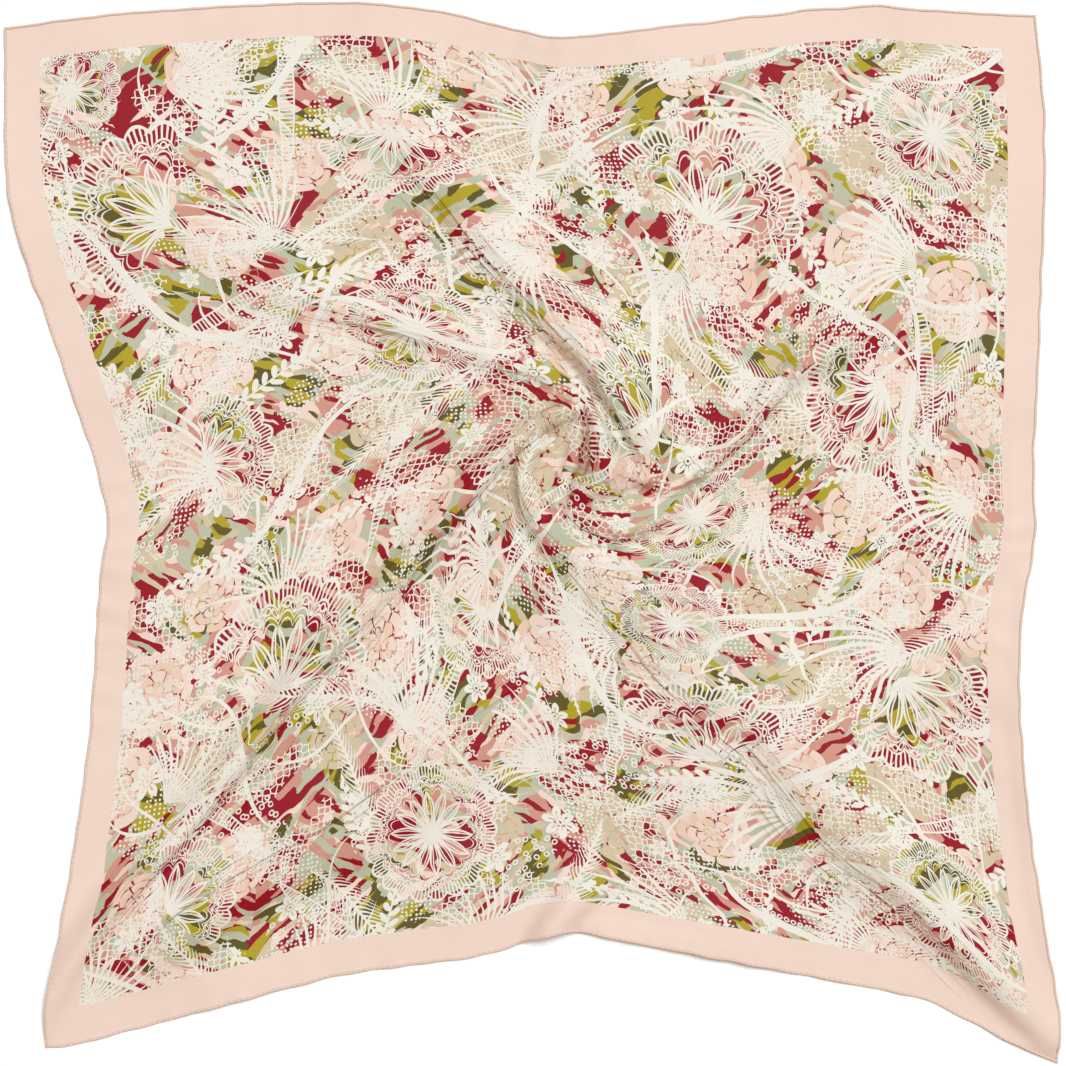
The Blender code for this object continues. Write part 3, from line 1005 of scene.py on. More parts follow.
NODE_KINDS: dict[str, NodeKind] = {
    "cut": NodeKind("ShaderNodeUVMap", {"uv_map": "flat_cut"}),
    "roll": NodeKind("ShaderNodeUVMap", {"uv_map": "roll"}),
    "carried": NodeKind("ShaderNodeAttribute"),
    "split": NodeKind("ShaderNodeSeparateXYZ"),
    "channels": NodeKind("ShaderNodeSeparateColor"),
    "turned": NodeKind("ShaderNodeMapping", {"vector_type": "TEXTURE"}),
    "cells": NodeKind(VORONOI, FLAT),
    "shards": NodeKind(VORONOI, {**FLAT, "distance": "CHEBYCHEV"}),
    "mesh": NodeKind(VORONOI, {**FLAT, "feature": "DISTANCE_TO_EDGE"}),
    "cloud": NodeKind("ShaderNodeTexNoise", {"noise_dimensions": "2D"}),
    "over": NodeKind("ShaderNodeMix", {"data_type": "RGBA"}, (0, 6, 7)),
    "between": NodeKind("ShaderNodeMix", {"data_type": "FLOAT"}, (0, 2, 3)),
    "bands": NodeKind("ShaderNodeValToRGB"),
    "bump": NodeKind("ShaderNodeBump"),
}


def linear(hex_colour: str) -> Colour:
    """An sRGB hex value as a linear colour with full cover."""
    parts = [int(hex_colour[i:i + 2], 16) / 255 for i in (1, 3, 5)]
    return (*[p / 12.92 if p <= 0.04045 else ((p + 0.055) / 1.055) ** 2.4 for p in parts], 1.0)


def add_node(tree: bpy.types.NodeTree, kind: str, settings: dict[str, object],
             inputs: dict[int | str, object]) -> bpy.types.Node:
    """Add a node with its settings and links.

    Args:
        tree: the node tree it goes into.
        kind: the node's type name.
        settings: properties of the node itself.
        inputs: the sockets, by number or name, each with a value or a socket to link from.

    Returns:
        The new node.
    """
    node = tree.nodes.new(kind)
    for name, value in settings.items():
        setattr(node, name, value)
    for name, value in inputs.items():
        if isinstance(value, bpy.types.NodeSocket):
            tree.links.new(value, node.inputs[name])
        else:
            node.inputs[name].default_value = value
    return node


@dataclass(frozen=True)
class Canvas:
    """Draws in one node tree, a step at a time."""

    tree: bpy.types.NodeTree

    def add(self, how: str, *values: object, settings: dict[str, object] | None = None,
            stops: tuple = (), **named: object) -> "Value":
        """Add one step of a drawing.

        Args:
            how: a maths operation, a vector's with "v " before it, or a name in NODE_KINDS.
            values: what it is done to, for the sockets in turn.
            settings: properties of the node beside its kind's own.
            stops: a ramp's flat bands, each with its start and its colour.
            named: values for the sockets of those names.

        Returns:
            What the step gives.
        """
        maths = ("ShaderNodeVectorMath", how[2:]) if how[:2] == "v " else ("ShaderNodeMath", how)
        kind = NODE_KINDS.get(how, NodeKind(maths[0], {"operation": maths[1]}))
        inputs = {**dict(zip(kind.order, values)), **named}
        node = add_node(self.tree, kind.type_name, {**kind.settings, **(settings or {})}, {
            name: item.socket if isinstance(item, Value) else item
            for name, item in inputs.items()})
        for number, (start, colour) in enumerate(stops):
            ramp = node.color_ramp
            ramp.interpolation = "CONSTANT"
            band = ramp.elements[number] if number < 2 else ramp.elements.new(start)
            band.position = start
            band.color = colour
        return Value(self, next(output for output in node.outputs if output.enabled))


@dataclass(frozen=True)
class Value:
    """What a step gives at each place: a number or a vector, with the arithmetic of numbers.

    A mark's cover is 1 where it lies and 0 elsewhere, and "|" lays one cover over another.
    """

    canvas: Canvas
    socket: bpy.types.NodeSocket

    def to(self, operation: str, *values: object) -> "Value":
        """Do a maths operation to this value, or a vector's operation to a vector."""
        vector = self.socket.type in ("VECTOR", "RGBA")
        return self.canvas.add(("v " if vector else "") + operation, self, *values)

    def output(self, name: str) -> "Value":
        """Another output of the same step."""
        return Value(self.canvas, self.socket.node.outputs[name])

    def into(self, how: str) -> tuple["Value", ...]:
        """All that one more step gives for this value."""
        given = self.canvas.add(how, self)
        return tuple(Value(self.canvas, output) for output in given.socket.node.outputs)

    # What each sign stands for.
    __add__ = partialmethod(to, "ADD")
    __sub__ = partialmethod(to, "SUBTRACT")
    __mul__ = partialmethod(to, "MULTIPLY")
    __truediv__ = partialmethod(to, "DIVIDE")
    __or__ = partialmethod(to, "MAXIMUM")
    __lt__ = partialmethod(to, "LESS_THAN")
    __gt__ = partialmethod(to, "GREATER_THAN")
    __abs__ = partialmethod(to, "ABSOLUTE")


# ---------------------------------------------------------------------------------------------
# The print's layers
# ---------------------------------------------------------------------------------------------

class Ink(Enum):
    """The screen printer's nine inks."""

    PALE = "#E6E1D6"
    BLUSH = "#E8CFC1"
    PEACH = "#E5C5B1"
    SAGE = "#B7B89F"
    ROSE = "#CB9181"
    SAND = "#CEBC9F"
    CRIMSON = "#930E20"
    CHARTREUSE = "#AB9A24"
    OLIVE = "#5E5320"

    @property
    def colour(self) -> Colour:
        """The ink's linear colour."""
        return linear(self.value)


class Cut(NamedTuple):
    """Places on the flat cut in millimetres, and how the drawing hand strays there."""

    place: Value
    wobble: Value
    drift: Value


@dataclass(frozen=True)
class Layer:
    """One layer of the print: its marks, and how they are drawn.

    The marks' own coordinates are carried by an attribute of the layer's name.
    """

    marks: tuple[Motif, ...] | tuple[Stroke, ...]
    name: ClassVar[str] = ""

    def carry(self, mesh: bpy.types.Mesh, cells: CutCells) -> None:
        """Give the mesh the layer's attribute.

        Args:
            mesh: the flat cut's cells.
            cells: their middles and corners on the cut.
        """
        find = cells.from_motifs if isinstance(self.marks[0], Motif) else cells.from_strokes
        carry_vectors(mesh, self.name, find(self.marks))

    def near(self, cut: Cut, along: float, beside: float) -> Value:
        """Each place's coordinates in its mark, with the drawing hand's waver."""
        carried = cut.place.canvas.add("carried", settings={"attribute_name": self.name})
        return cut.wobble.to("MULTIPLY_ADD", (along, beside, 0), carried.output("Vector"))

    def in_round(self, cut: Cut, waver: float) -> tuple[Value, Value, Value, Value]:
        """Each place in its round motif.

        Args:
            cut: the places.
            waver: how far the drawing hand wavers, in radii.

        Returns:
            The place as a flat vector, its distance from the middle, its angle, and the motif's
            opening.
        """
        near = self.near(cut, waver, waver)
        x, y, opening = near.into("split")
        flat = near * (1, 1, 0)
        return flat, flat.to("LENGTH"), x.to("ARCTAN2", y), opening

    def draw(self, cut: Cut) -> Value:
        """Draw the layer, and give the cover of its ink."""
        raise NotImplementedError


SOLID, LADDER, RINGS, BARE = (1, 0, 0, 1), (0, 1, 0, 1), (0, 0, 1, 1), (0, 0, 0, 1)


@dataclass(frozen=True)
class LaceFans(Layer):
    """Fans and medallions of needle lace: scallops, a ladder, rings, bars and long petals.

    The bands are told by their depth from the scalloped rim, in radii.
    """

    name: ClassVar[str] = "fans"
    waver: float = 0.012            # of the motif's radius
    lobes: int = 22
    scallop: float = 0.34
    rim: float = 0.985
    ribs_a_lobe: int = 5
    rib: float = 0.40               # of the ladder's pitch
    rings_a_lobe: int = 3
    ring: tuple[float, float, float] = (0.2375, 0.030, 0.0085)  # depth, radius, half its line
    petals: int = 14
    petal_reach: float = 0.60
    petal_rims: tuple[tuple[float, float], ...] = ((-0.44, 0.026), (-0.20, 0.017))
    heart: float = 0.36
    hub: float = 0.075
    bands: tuple[tuple[float, tuple[int, int, int, int]], ...] = (
        (0.000, SOLID), (0.034, LADDER), (0.165, SOLID), (0.190, RINGS),
        (0.285, SOLID), (0.302, BARE), (0.345, SOLID), (0.362, BARE))

    def draw(self, cut: Cut) -> tuple[Value, Value]:
        """Draw the bands, then the petals and the hub, then cut the fan to its opening.

        Args:
            cut: the places.

        Returns:
            The cover of the ink, and of the whole fan.
        """
        _, size, angle, opening = self.in_round(cut, self.waver)
        lobes = angle * (self.lobes / FULL_TURN) + 0.5
        off = lobes.to("FRACT") - 0.5
        depth = off * off * -self.scallop + self.rim - size
        solid, ladder, rings = size.canvas.add("bands", depth, stops=self.bands).into("channels")
        ribbed = (lobes * self.ribs_a_lobe).to("FRACT") < self.rib
        ring_depth, radius, line = self.ring
        ring_pitch = FULL_TURN * (1 - ring_depth) / (self.lobes * self.rings_a_lobe)
        x = ((lobes * self.rings_a_lobe).to("FRACT") - 0.5) * ring_pitch
        y = depth - ring_depth
        ringed = (x * x + y * y).to("SQRT").to("COMPARE", radius, line)
        side = abs((angle * (self.petals / FULL_TURN) + 0.5).to("FRACT") - 0.5)
        swell = (size * (math.pi / self.petal_reach)).to("SINE")
        outer, inner = (((swell * wide + side) * size).to("COMPARE", 0.0, rim)
                        for wide, rim in self.petal_rims)
        heart = (outer | inner) * (depth > self.heart)
        inked = rings * ringed + (ladder * ribbed + (solid | heart)) | (size < self.hub)
        cover = (depth > 0.0) * (abs(angle) < opening * math.pi)
        return inked * cover, cover


@dataclass(frozen=True)
class LaceFlowers(Layer):
    """Small open flowers with slit petals round a ring."""

    name: ClassVar[str] = "flowers"
    waver: float = 0.05             # of the motif's radius
    petals: int = 6
    petal_middle: float = 0.62
    petal_shape: tuple[float, float] = (2.75, 4.1)
    slit: float = 0.055
    ring: tuple[float, float] = (0.16, 0.065)

    def draw(self, cut: Cut) -> Value:
        """Draw the slit petals, then the ring.

        Args:
            cut: the places.

        Returns:
            The cover of the ink.
        """
        _, size, angle, _ = self.in_round(cut, self.waver)
        off = (angle * (self.petals / FULL_TURN) + 0.5).to("FRACT") - 0.5
        long = (size - self.petal_middle) * self.petal_shape[0]
        wide = off * size * self.petal_shape[1]
        oval = wide * wide + long * long < 1.0
        unslit = (abs(off) > self.slit) | (size > self.petal_middle)
        return oval * unslit | size.to("COMPARE", *self.ring)


@dataclass(frozen=True)
class Tufts(Layer):
    """Tufts of thread that spread from one knot, each thread with a length of its own."""

    name: ClassVar[str] = "tufts"
    waver: float = 0.012            # of the motif's radius
    threads: int = 38
    spread: float = 1.05
    curl: float = 0.55
    shortest: float = 0.58
    stoutest: float = 0.43

    def draw(self, cut: Cut) -> Value:
        """Part the tuft into threads, then taper each to its own length.

        Args:
            cut: the places.

        Returns:
            The cover of the ink.
        """
        _, size, angle, _ = self.in_round(cut, self.waver)
        curled = size * self.curl + angle
        threads = curled * (self.threads / FULL_TURN)
        chance = ((threads.to("FLOOR") * 12.9898).to("SINE") * 43.7585).to("FRACT")
        length = chance * (1 - self.shortest) + self.shortest
        wide = (length - size) / length * self.stoutest
        line = abs(threads.to("FRACT") - 0.5) < wide
        return line * (abs(curled) < self.spread)


@dataclass(frozen=True)
class Feathers(Layer):
    """Feathers: a stem with slanting barbs that thin outwards."""

    name: ClassVar[str] = "feathers"
    waver: tuple[float, float] = (1.4, 1.0)   # along the stroke and beside it
    barb_mm: float = 6.2
    stem_mm: float = 1.0
    sweep: float = 0.9
    barb: tuple[float, float] = (0.56, -0.40)   # of the pitch: at the stem, and its change

    def draw(self, cut: Cut) -> Value:
        """Draw the stem, then the barbs swept back from it.

        Args:
            cut: the places.

        Returns:
            The cover of the ink.
        """
        run, off, half = self.near(cut, *self.waver).into("split")
        side = abs(off)
        share = side / half
        slant = share * share * half * self.sweep + side
        barb = ((run - slant) / self.barb_mm).to("FRACT") < share * self.barb[1] + self.barb[0]
        return barb * (share < 1.0) | (side < self.stem_mm)


@dataclass(frozen=True)
class Cords(Layer):
    """Sweeping cords that swell at their middle, edged there with small rings."""

    name: ClassVar[str] = "cords"
    waver: tuple[float, float] = (0, 1.2)     # along the stroke and beside it
    ring_pitch_mm: float = 6.0
    ring_mm: float = 1.9
    ring_line_mm: float = 0.62
    ring_off_mm: float = 3.2
    stout_mm: float = 2.2

    def draw(self, cut: Cut) -> Value:
        """Draw the cord, then the rings along one side of it.

        Args:
            cut: the places.

        Returns:
            The cover of the ink.
        """
        run, off, half = self.near(cut, *self.waver).into("split")
        x = ((run / self.ring_pitch_mm).to("FRACT") - 0.5) * self.ring_pitch_mm
        y = off - half - self.ring_off_mm
        ring = (x * x + y * y).to("SQRT").to("COMPARE", self.ring_mm, self.ring_line_mm)
        return (abs(off) < half) | ring * (half > self.stout_mm)


@dataclass(frozen=True)
class Branches(Layer):
    """Leafy branches: a stem with a leaf now on one side, now on the other."""

    name: ClassVar[str] = "branches"
    waver: tuple[float, float] = (1.2, 1.2)   # along the stroke and beside it
    leaf_mm: float = 10.5
    stem_mm: float = 0.9
    stagger_mm: float = 3.0
    lean: float = -0.75
    slimness: float = 8.0
    fullness: float = 0.86

    def draw(self, cut: Cut) -> Value:
        """Draw the stem, then the leaves that lean forwards from it.

        Args:
            cut: the places.

        Returns:
            The cover of the ink.
        """
        run, off, wide = self.near(cut, *self.waver).into("split")
        side, half = abs(off), wide * 0.5
        leaned = side * self.lean + (off.to("SIGN") * self.stagger_mm + run)
        x = (leaned / self.leaf_mm).to("FRACT") - 0.5
        y = (side - half) / half
        leaf = y * y + x * x * self.slimness < self.fullness
        return leaf | (side < self.stem_mm)


@dataclass(frozen=True)
class Tapes(Layer):
    """Ladder tapes: two rails with rungs between them."""

    name: ClassVar[str] = "tapes"
    waver: tuple[float, float] = (1.0, 1.0)   # along the stroke and beside it
    rung_mm: float = 3.8
    rung: float = 0.36              # of the pitch
    rail_mm: float = 0.75

    def draw(self, cut: Cut) -> Value:
        """Draw the rails, then the rungs.

        Args:
            cut: the places.

        Returns:
            The cover of the ink.
        """
        run, off, half = self.near(cut, *self.waver).into("split")
        side = abs(off)
        rung = (run / self.rung_mm).to("FRACT") < self.rung
        return side.to("COMPARE", half, self.rail_mm) | rung * (side < half)


@dataclass(frozen=True)
class Tendrils(Layer):
    """Thin curling tendrils."""

    name: ClassVar[str] = "tendrils"
    waver: tuple[float, float] = (0, 1.0)     # along the stroke and beside it

    def draw(self, cut: Cut) -> Value:
        """Draw the line."""
        _, off, half = self.near(cut, *self.waver).into("split")
        return abs(off) < half


@dataclass(frozen=True)
class Blossoms(Layer):
    """Full blossoms: tiers of rounded petals, parted by thin bare lines."""

    name: ClassVar[str] = "blossoms"
    waver: float = 0.05             # of the motif's radius
    ruffle: float = 0.34
    tiers: float = 4.2
    whole_tiers: float = 4.0
    tier_turn: float = 0.73
    petals: int = 7
    petal_round: float = 1.5
    bare_rim: float = 0.10          # of a tier
    bare_side: float = 0.455        # from a petal's middle, as a share of its width
    deeper_share: float = 0.42
    sandy_share: float = 0.26

    def draw(self, cut: Cut) -> tuple[Value, Value, Value]:
        """Ruffle the round, part it into tiers and petals, then tint them by number.

        Args:
            cut: the places.

        Returns:
            The cover of the ink, of the petals that take the deeper tint, and of the blossoms
            that take the sand one.
        """
        flat, _, _, own = self.in_round(cut, self.waver)
        ruffled = cut.drift.to("MULTIPLY_ADD", (self.ruffle, self.ruffle, 0), flat)
        x, y, _ = ruffled.into("split")
        tiers = ruffled.to("LENGTH") * self.tiers
        turned = tiers.to("FLOOR") * self.tier_turn + x.to("ARCTAN2", y)
        petals = turned * (self.petals / FULL_TURN)
        off = petals.to("FRACT") - 0.5
        scalloped = off * off * self.petal_round + tiers
        bare = (scalloped.to("FRACT") < self.bare_rim) | (abs(off) > self.bare_side)
        number = scalloped.to("FLOOR") * 0.237 + (petals.to("FLOOR") * 0.381 + own)
        cover = (scalloped < self.whole_tiers) * (bare < 0.5)
        return cover, number.to("FRACT") < self.deeper_share, own < self.sandy_share


@dataclass(frozen=True)
class Filling:
    """A lace filling that comes and goes in patches: its cells, its line, and its patches."""

    cells: str
    cell: dict[str, float]
    line: tuple
    patch_mm: float
    where: tuple[str, float]

    def draw(self, cut: Cut) -> Value:
        """Draw the cells' lines, then keep them to their patches.

        Args:
            cut: the places.

        Returns:
            The cover of the ink.
        """
        add = cut.place.canvas.add
        patches = add("cloud", cut.place, Scale=1 / self.patch_mm, Detail=0.0)
        return add(self.cells, cut.place, **self.cell).to(*self.line) * patches.to(*self.where)


GROUND_INKS = (
    # Three moods in turn: pale, warm and green, each with its inks and their shares.
    (Ink.SAGE, 0.080), (Ink.SAND, 0.035), (Ink.BLUSH, 0.050), (Ink.ROSE, 0.052),
    (Ink.CRIMSON, 0.024), (Ink.SAGE, 0.062), (Ink.SAND, 0.030),
    (Ink.CRIMSON, 0.098), (Ink.ROSE, 0.070), (Ink.SAND, 0.022), (Ink.CRIMSON, 0.052),
    (Ink.SAGE, 0.030), (Ink.ROSE, 0.033), (Ink.BLUSH, 0.028),
    (Ink.CHARTREUSE, 0.074), (Ink.OLIVE, 0.066), (Ink.CRIMSON, 0.022), (Ink.SAGE, 0.052),
    (Ink.CHARTREUSE, 0.052), (Ink.OLIVE, 0.038), (Ink.SAND, 0.030),
)


@dataclass(frozen=True)
class BrushedGround:
    """Bars of colour brushed on a slant: falling in some regions, rising in others.

    A bar's own chance number and the mood of its neighbourhood pick its ink.
    """

    falling: tuple[float, float, float] = (38, 26, 5.8)     # degrees, mm long, mm wide
    rising: tuple[float, float, float] = (-35, 24, 5.4)
    bend_mm: float = 12
    rough_mm: float = 2.5
    region_mm: float = 180
    mood_mm: float = 60
    mood_stray: float = 0.10
    warm_over: float = 0.565
    green_under: float = 0.455

    def draw(self, cut: Cut) -> Value:
        """Bend and roughen the bars, choose their slant, then pick their inks.

        Args:
            cut: the places.

        Returns:
            The ink's colour.
        """
        add = cut.place.canvas.add
        bent = cut.drift.to("MULTIPLY_ADD", (self.bend_mm, self.bend_mm, 0), cut.place)
        rough = cut.wobble.to("MULTIPLY_ADD", (self.rough_mm, self.rough_mm, 0), bent)
        ways = (add("turned", rough, Rotation=(0, 0, math.radians(slant)), Scale=(long, wide, 1))
                for slant, long, wide in (self.falling, self.rising))
        region = add("cloud", cut.place, Scale=1 / self.region_mm, Detail=0.0) > 0.5
        bars = add("shards", add("over", region, *ways), Scale=1.0)
        chance, stray, _ = bars.output("Color").into("channels")
        moods = add("cloud", cut.place, Scale=1 / self.mood_mm, Detail=1.0, Roughness=0.6)
        mood = stray * self.mood_stray + moods
        green = (mood < self.green_under) * 2.0
        pick = (green + (chance + (mood > self.warm_over))) / 3.0
        starts = running([share for _, share in GROUND_INKS])
        stops = tuple((start, ink.colour) for start, (ink, _) in zip(starts, GROUND_INKS))
        return add("bands", pick, stops=stops)


@dataclass(frozen=True)
class LacePrint:
    """The whole print: a brushed ground, blossoms, and lace in one pale ink, in a plain border."""

    ground: BrushedGround = BrushedGround()
    fans: LaceFans = LaceFans(LACE_FANS)
    blossoms: Blossoms = Blossoms(Strewing(5, 106, 22).motifs(27, 43))
    under_fans: tuple[Layer, ...] = (
        LaceFlowers(Strewing(11, 82, 20).motifs(9, 17)),
        Tufts(Strewing(23, 185, 34).tufts(80, 130, clear_of=(60, 25))),
        Feathers(Strewing(31, 160, 34).strokes((120, 200), (0.002, 0.009), (11, 18), 25)),
        Branches(Strewing(53, 150, 34).strokes((80, 140), (0.004, 0.014), (7, 13), 50)),
        Tendrils(Strewing(43, 128, 34).strokes((110, 200), (0.012, 0.040), (1.2, 2.1), 60)),
    )
    over_all: tuple[Layer, ...] = (
        Cords(Strewing(41, 185, 36).strokes((160, 280), (0.010, 0.034), (2.4, 4.4), 40)),
        Tapes(Strewing(61, 220, 40).strokes((120, 200), (0.003, 0.009), (5, 7.5), 50)),
    )
    fillings: tuple[Filling, ...] = (
        Filling("mesh", {"Scale": 0.17, "Randomness": 0.55},
                ("LESS_THAN", 0.095), 56, ("GREATER_THAN", 0.60)),
        Filling("cells", {"Scale": 0.24, "Randomness": 0.35},
                ("LESS_THAN", 0.26), 50, ("LESS_THAN", 0.36)),
        Filling("cells", {"Scale": 0.115, "Randomness": 0.75},
                ("COMPARE", 0.24, 0.07), 77, ("LESS_THAN", 0.40)),
    )
    print_reach: float = 0.4192     # from the middle of the print to the border
    print_shift: tuple[float, float] = (-1.2, 1.2)  # mm that the screens sat off the cut's middle
    strays: tuple[float, float] = (0.085, 0.028)    # a quick waver and a slow drift, a millimetre

    def carry(self, mesh: bpy.types.Mesh, cut: np.ndarray) -> None:
        """Give the mesh an attribute for each layer of marks.

        Args:
            mesh: the flat cut's cells, four corners each.
            cut: the corners' shares of the cut.
        """
        cells = CutCells.of((cut - 0.5) * CUT_SIDE / MM)
        for layer in (self.fans, self.blossoms, *self.under_fans, *self.over_all):
            layer.carry(mesh, cells)

    def cut(self, canvas: Canvas) -> Cut:
        """Find each place of the cut in millimetres, and how the drawing hand strays there.

        Args:
            canvas: where it is drawn.

        Returns:
            The places and the two ways to stray.
        """
        cut_mm = CUT_SIDE / MM
        place = (canvas.add("cut") - (0.5, 0.5, 0)) * (cut_mm, cut_mm, 0)
        strays = (
            canvas.add("cloud", place, Scale=pace, Detail=1.0).output("Color") - (0.5, 0.5, 0.5)
            for pace in self.strays)
        return Cut(place, *strays)

    def draw(self, cut: Cut) -> Value:
        """Draw the whole print.

        Args:
            cut: the places.

        Returns:
            The ink's colour.
        """
        add = cut.place.canvas.add
        fans, fan_cover = self.fans.draw(cut)
        bloom, deeper, sandy = self.blossoms.draw(cut)
        clear = fan_cover < 0.5
        under = reduce(or_, (part.draw(cut) for part in (*self.under_fans, *self.fillings)))
        lace = under * clear | reduce(or_, (part.draw(cut) for part in self.over_all), fans)
        petals = add("over", deeper, Ink.BLUSH.colour, Ink.PEACH.colour)
        tinted = add("over", sandy, petals, Ink.SAND.colour)
        with_bloom = add("over", bloom * clear, self.ground.draw(cut), tinted)
        with_lace = add("over", lace, with_bloom, Ink.PALE.colour)
        x, y, _ = abs(cut.place - (*self.print_shift, 0)).into("split")
        border = (x | y) > self.print_reach / MM
        return add("over", border, with_lace, Ink.BLUSH.colour)


# ---------------------------------------------------------------------------------------------
# Finishes
# ---------------------------------------------------------------------------------------------

@dataclass(frozen=True)
class FineWrinkles:
    """Wrinkles finer than the cloth's cells, which run beside the folds and die out away from them.

    Each is a crease where a stretched cloud passes its middle value, and is puffed between. One
    deeper crease runs along the foot of each fold's steeper side.
    """

    name: str = "wrinkles"
    beside: tuple[str, ...] = (
        "upper left", "left", "lower left", "low", "lower right", "upper right", "heart",
        "upper tuck", "lower tuck")
    reach_mm: float = 26
    long_mm: float = 60
    wide_mm: float = 5.6
    full_height: float = 0.012      # a fold as high as this has them in full
    smooth_from: float = 0.40       # from the middle; none reach the border
    dying: float = 0.06             # they die out over this much
    foot_at: float = 0.7            # of the side's reach
    foot_mm: float = 4.4            # from the foot's crease to its rim, where it is full
    foot_share: float = 0.58        # of the depth
    foot_stray_mm: float = 14.0
    depth: float = 0.0027
    curve_steps: int = 12
    spare_mm: float = 9             # carried beyond their reach
    run_apart_mm: float = 700       # so that no two folds share their wrinkles

    def foot_lines(self) -> list[np.ndarray]:
        """Points along each fold's steeper foot, with their run and share of wrinkles.

        Returns:
            For each fold, rows of x, y, run (in millimetres) and share.
        """
        lines = []
        for number, name in enumerate(self.beside):
            crest = through(FOLDS[name], self.curve_steps)
            way = np.gradient(crest[:, :2], axis=0)
            way = way / np.hypot(*way.T)[:, None]
            leftwards = np.column_stack((-way[:, 1], way[:, 0]))
            left, right = crest[:, 3:].T
            foot = self.foot_at * np.where(left < right, left, -right)
            plan = (crest[:, :2] + leftwards * foot[:, None]) / MM
            run = running(np.hypot(*np.diff(plan, axis=0).T)) + self.run_apart_mm * number
            inside = self.smooth_from - np.abs(crest[:, :2]).max(axis=1)
            share = np.clip(crest[:, 2] / self.full_height, 0, 1)
            share = share * np.clip(inside / self.dying, 0, 1)
            lines.append(np.column_stack((plan, run, share)))
        return lines

    def carry(self, mesh: bpy.types.Mesh, laid: np.ndarray) -> None:
        """Give the mesh an attribute that says where each corner lies beside its nearest fold.

        Args:
            mesh: the laid cloth's cells, four corners each.
            laid: the corners' places in plan.
        """
        places = CutCells.of(laid / MM).from_lines(self.foot_lines(), self.reach_mm + self.spare_mm)
        carry_vectors(mesh, self.name, places)

    def draw(self, canvas: Canvas) -> Value:
        """Bump the cloth into wrinkles.

        Args:
            canvas: where they are drawn.

        Returns:
            The bumped normal.
        """
        own = canvas.add("carried", settings={"attribute_name": self.name}).output("Vector")
        _, aside, share = own.into("split")
        drawn_out = own / (self.long_mm, self.wide_mm, 1)
        cloud = canvas.add("cloud", drawn_out, Scale=1.0, Detail=1.0)
        off = cloud - 0.5
        rising = abs(off * self.foot_stray_mm + aside) / self.foot_mm
        rim = rising.to("MINIMUM", cloud * 2.0 - 0.5)
        folded = rim * self.foot_share + abs(off)
        away = aside / self.reach_mm
        near = (away * away * -1.0 + 1.0) | 0.0
        height = folded * (near * share)
        return canvas.add("bump", Strength=1.0, Distance=self.depth, Height=height)


@dataclass(frozen=True)
class Silk:
    """Silk twill as it is woven: diagonal ribs, slubs, and a soft lustre, not a shine.

    The long, smooth threads float over each other on a slant.
    """

    name: ClassVar[str]
    rib_depth: float = 0.00006
    slub_swell: float = 1.5         # of the ribs' height
    roughness: tuple[float, float] = (0.42, 0.56)
    lustre: tuple[tuple[str, float | Colour], ...] = (
        ("IOR", 1.54),                      # silk fibre
        ("Specular IOR Level", 0.12),       # a solid's is 0.5: much light is lost among threads
        ("Sheen Weight", 0.03),
        ("Sheen Roughness", 0.35),
        ("Sheen Tint", linear("#FFF4EA")),
    )

    def surface(self, canvas: Canvas) -> tuple[Value, Value, Value]:
        """Draw the cloth's colour, roughness and bumped normal."""
        raise NotImplementedError

    def material(self) -> bpy.types.Material:
        """Make the cloth's material, with what is drawn and what is the same all over.

        Returns:
            The material.
        """
        material = bpy.data.materials.new(self.name)
        material.use_nodes = True
        tree = material.node_tree
        shader = tree.nodes["Principled BSDF"]
        drawn = self.surface(Canvas(tree))
        for socket, value in zip(("Base Color", "Roughness", "Normal"), drawn):
            tree.links.new(value.socket, shader.inputs[socket])
        for socket, value in self.lustre:
            shader.inputs[socket].default_value = value
        return material


@dataclass(frozen=True)
class PrintedSilkTwill(Silk):
    """Silk twill, screen printed on its face.

    The dye sinks through, so the reverse shows the print paler.
    """

    name: ClassVar[str] = "printed_silk_twill"
    design: LacePrint = LacePrint()
    wrinkles: FineWrinkles = FineWrinkles()
    rib_mm: float = 1.5             # the ribs are really 0.4 mm apart, too fine to show
    rib_lean: float = math.radians(45)
    rib_stray_mm: float = 1.6
    slub_mm: float = 14
    dye_spread: float = 0.045
    reverse_wash: float = 0.45

    def surface(self, canvas: Canvas) -> tuple[Value, Value, Value]:
        """Draw the print, the ribs with the slubs that make them uneven, and the dye.

        Args:
            canvas: where they are drawn.

        Returns:
            The colour, the roughness and the bumped normal.
        """
        add = canvas.add
        cut = self.design.cut(canvas)
        across = cut.place.to("DOT_PRODUCT", (math.cos(self.rib_lean), math.sin(self.rib_lean), 0))
        slubs = add("cloud", cut.place, Scale=1 / self.slub_mm, Detail=3.0)
        strayed = slubs * self.rib_stray_mm + across
        ribs = (strayed * (FULL_TURN / self.rib_mm)).to("SINE")
        bump = add("bump", Strength=1.0, Distance=self.rib_depth,
                   Height=slubs * self.slub_swell + ribs, Normal=self.wrinkles.draw(canvas))
        uneven = slubs * self.dye_spread + (1 - self.dye_spread / 2)
        reverse = add("carried", settings={"attribute_name": "reverse"}).output("Fac")
        both = add("over", reverse * self.reverse_wash, self.design.draw(cut), Ink.PALE.colour)
        colour = add("v SCALE", both, Scale=uneven)
        return colour, add("between", slubs, *self.roughness), bump


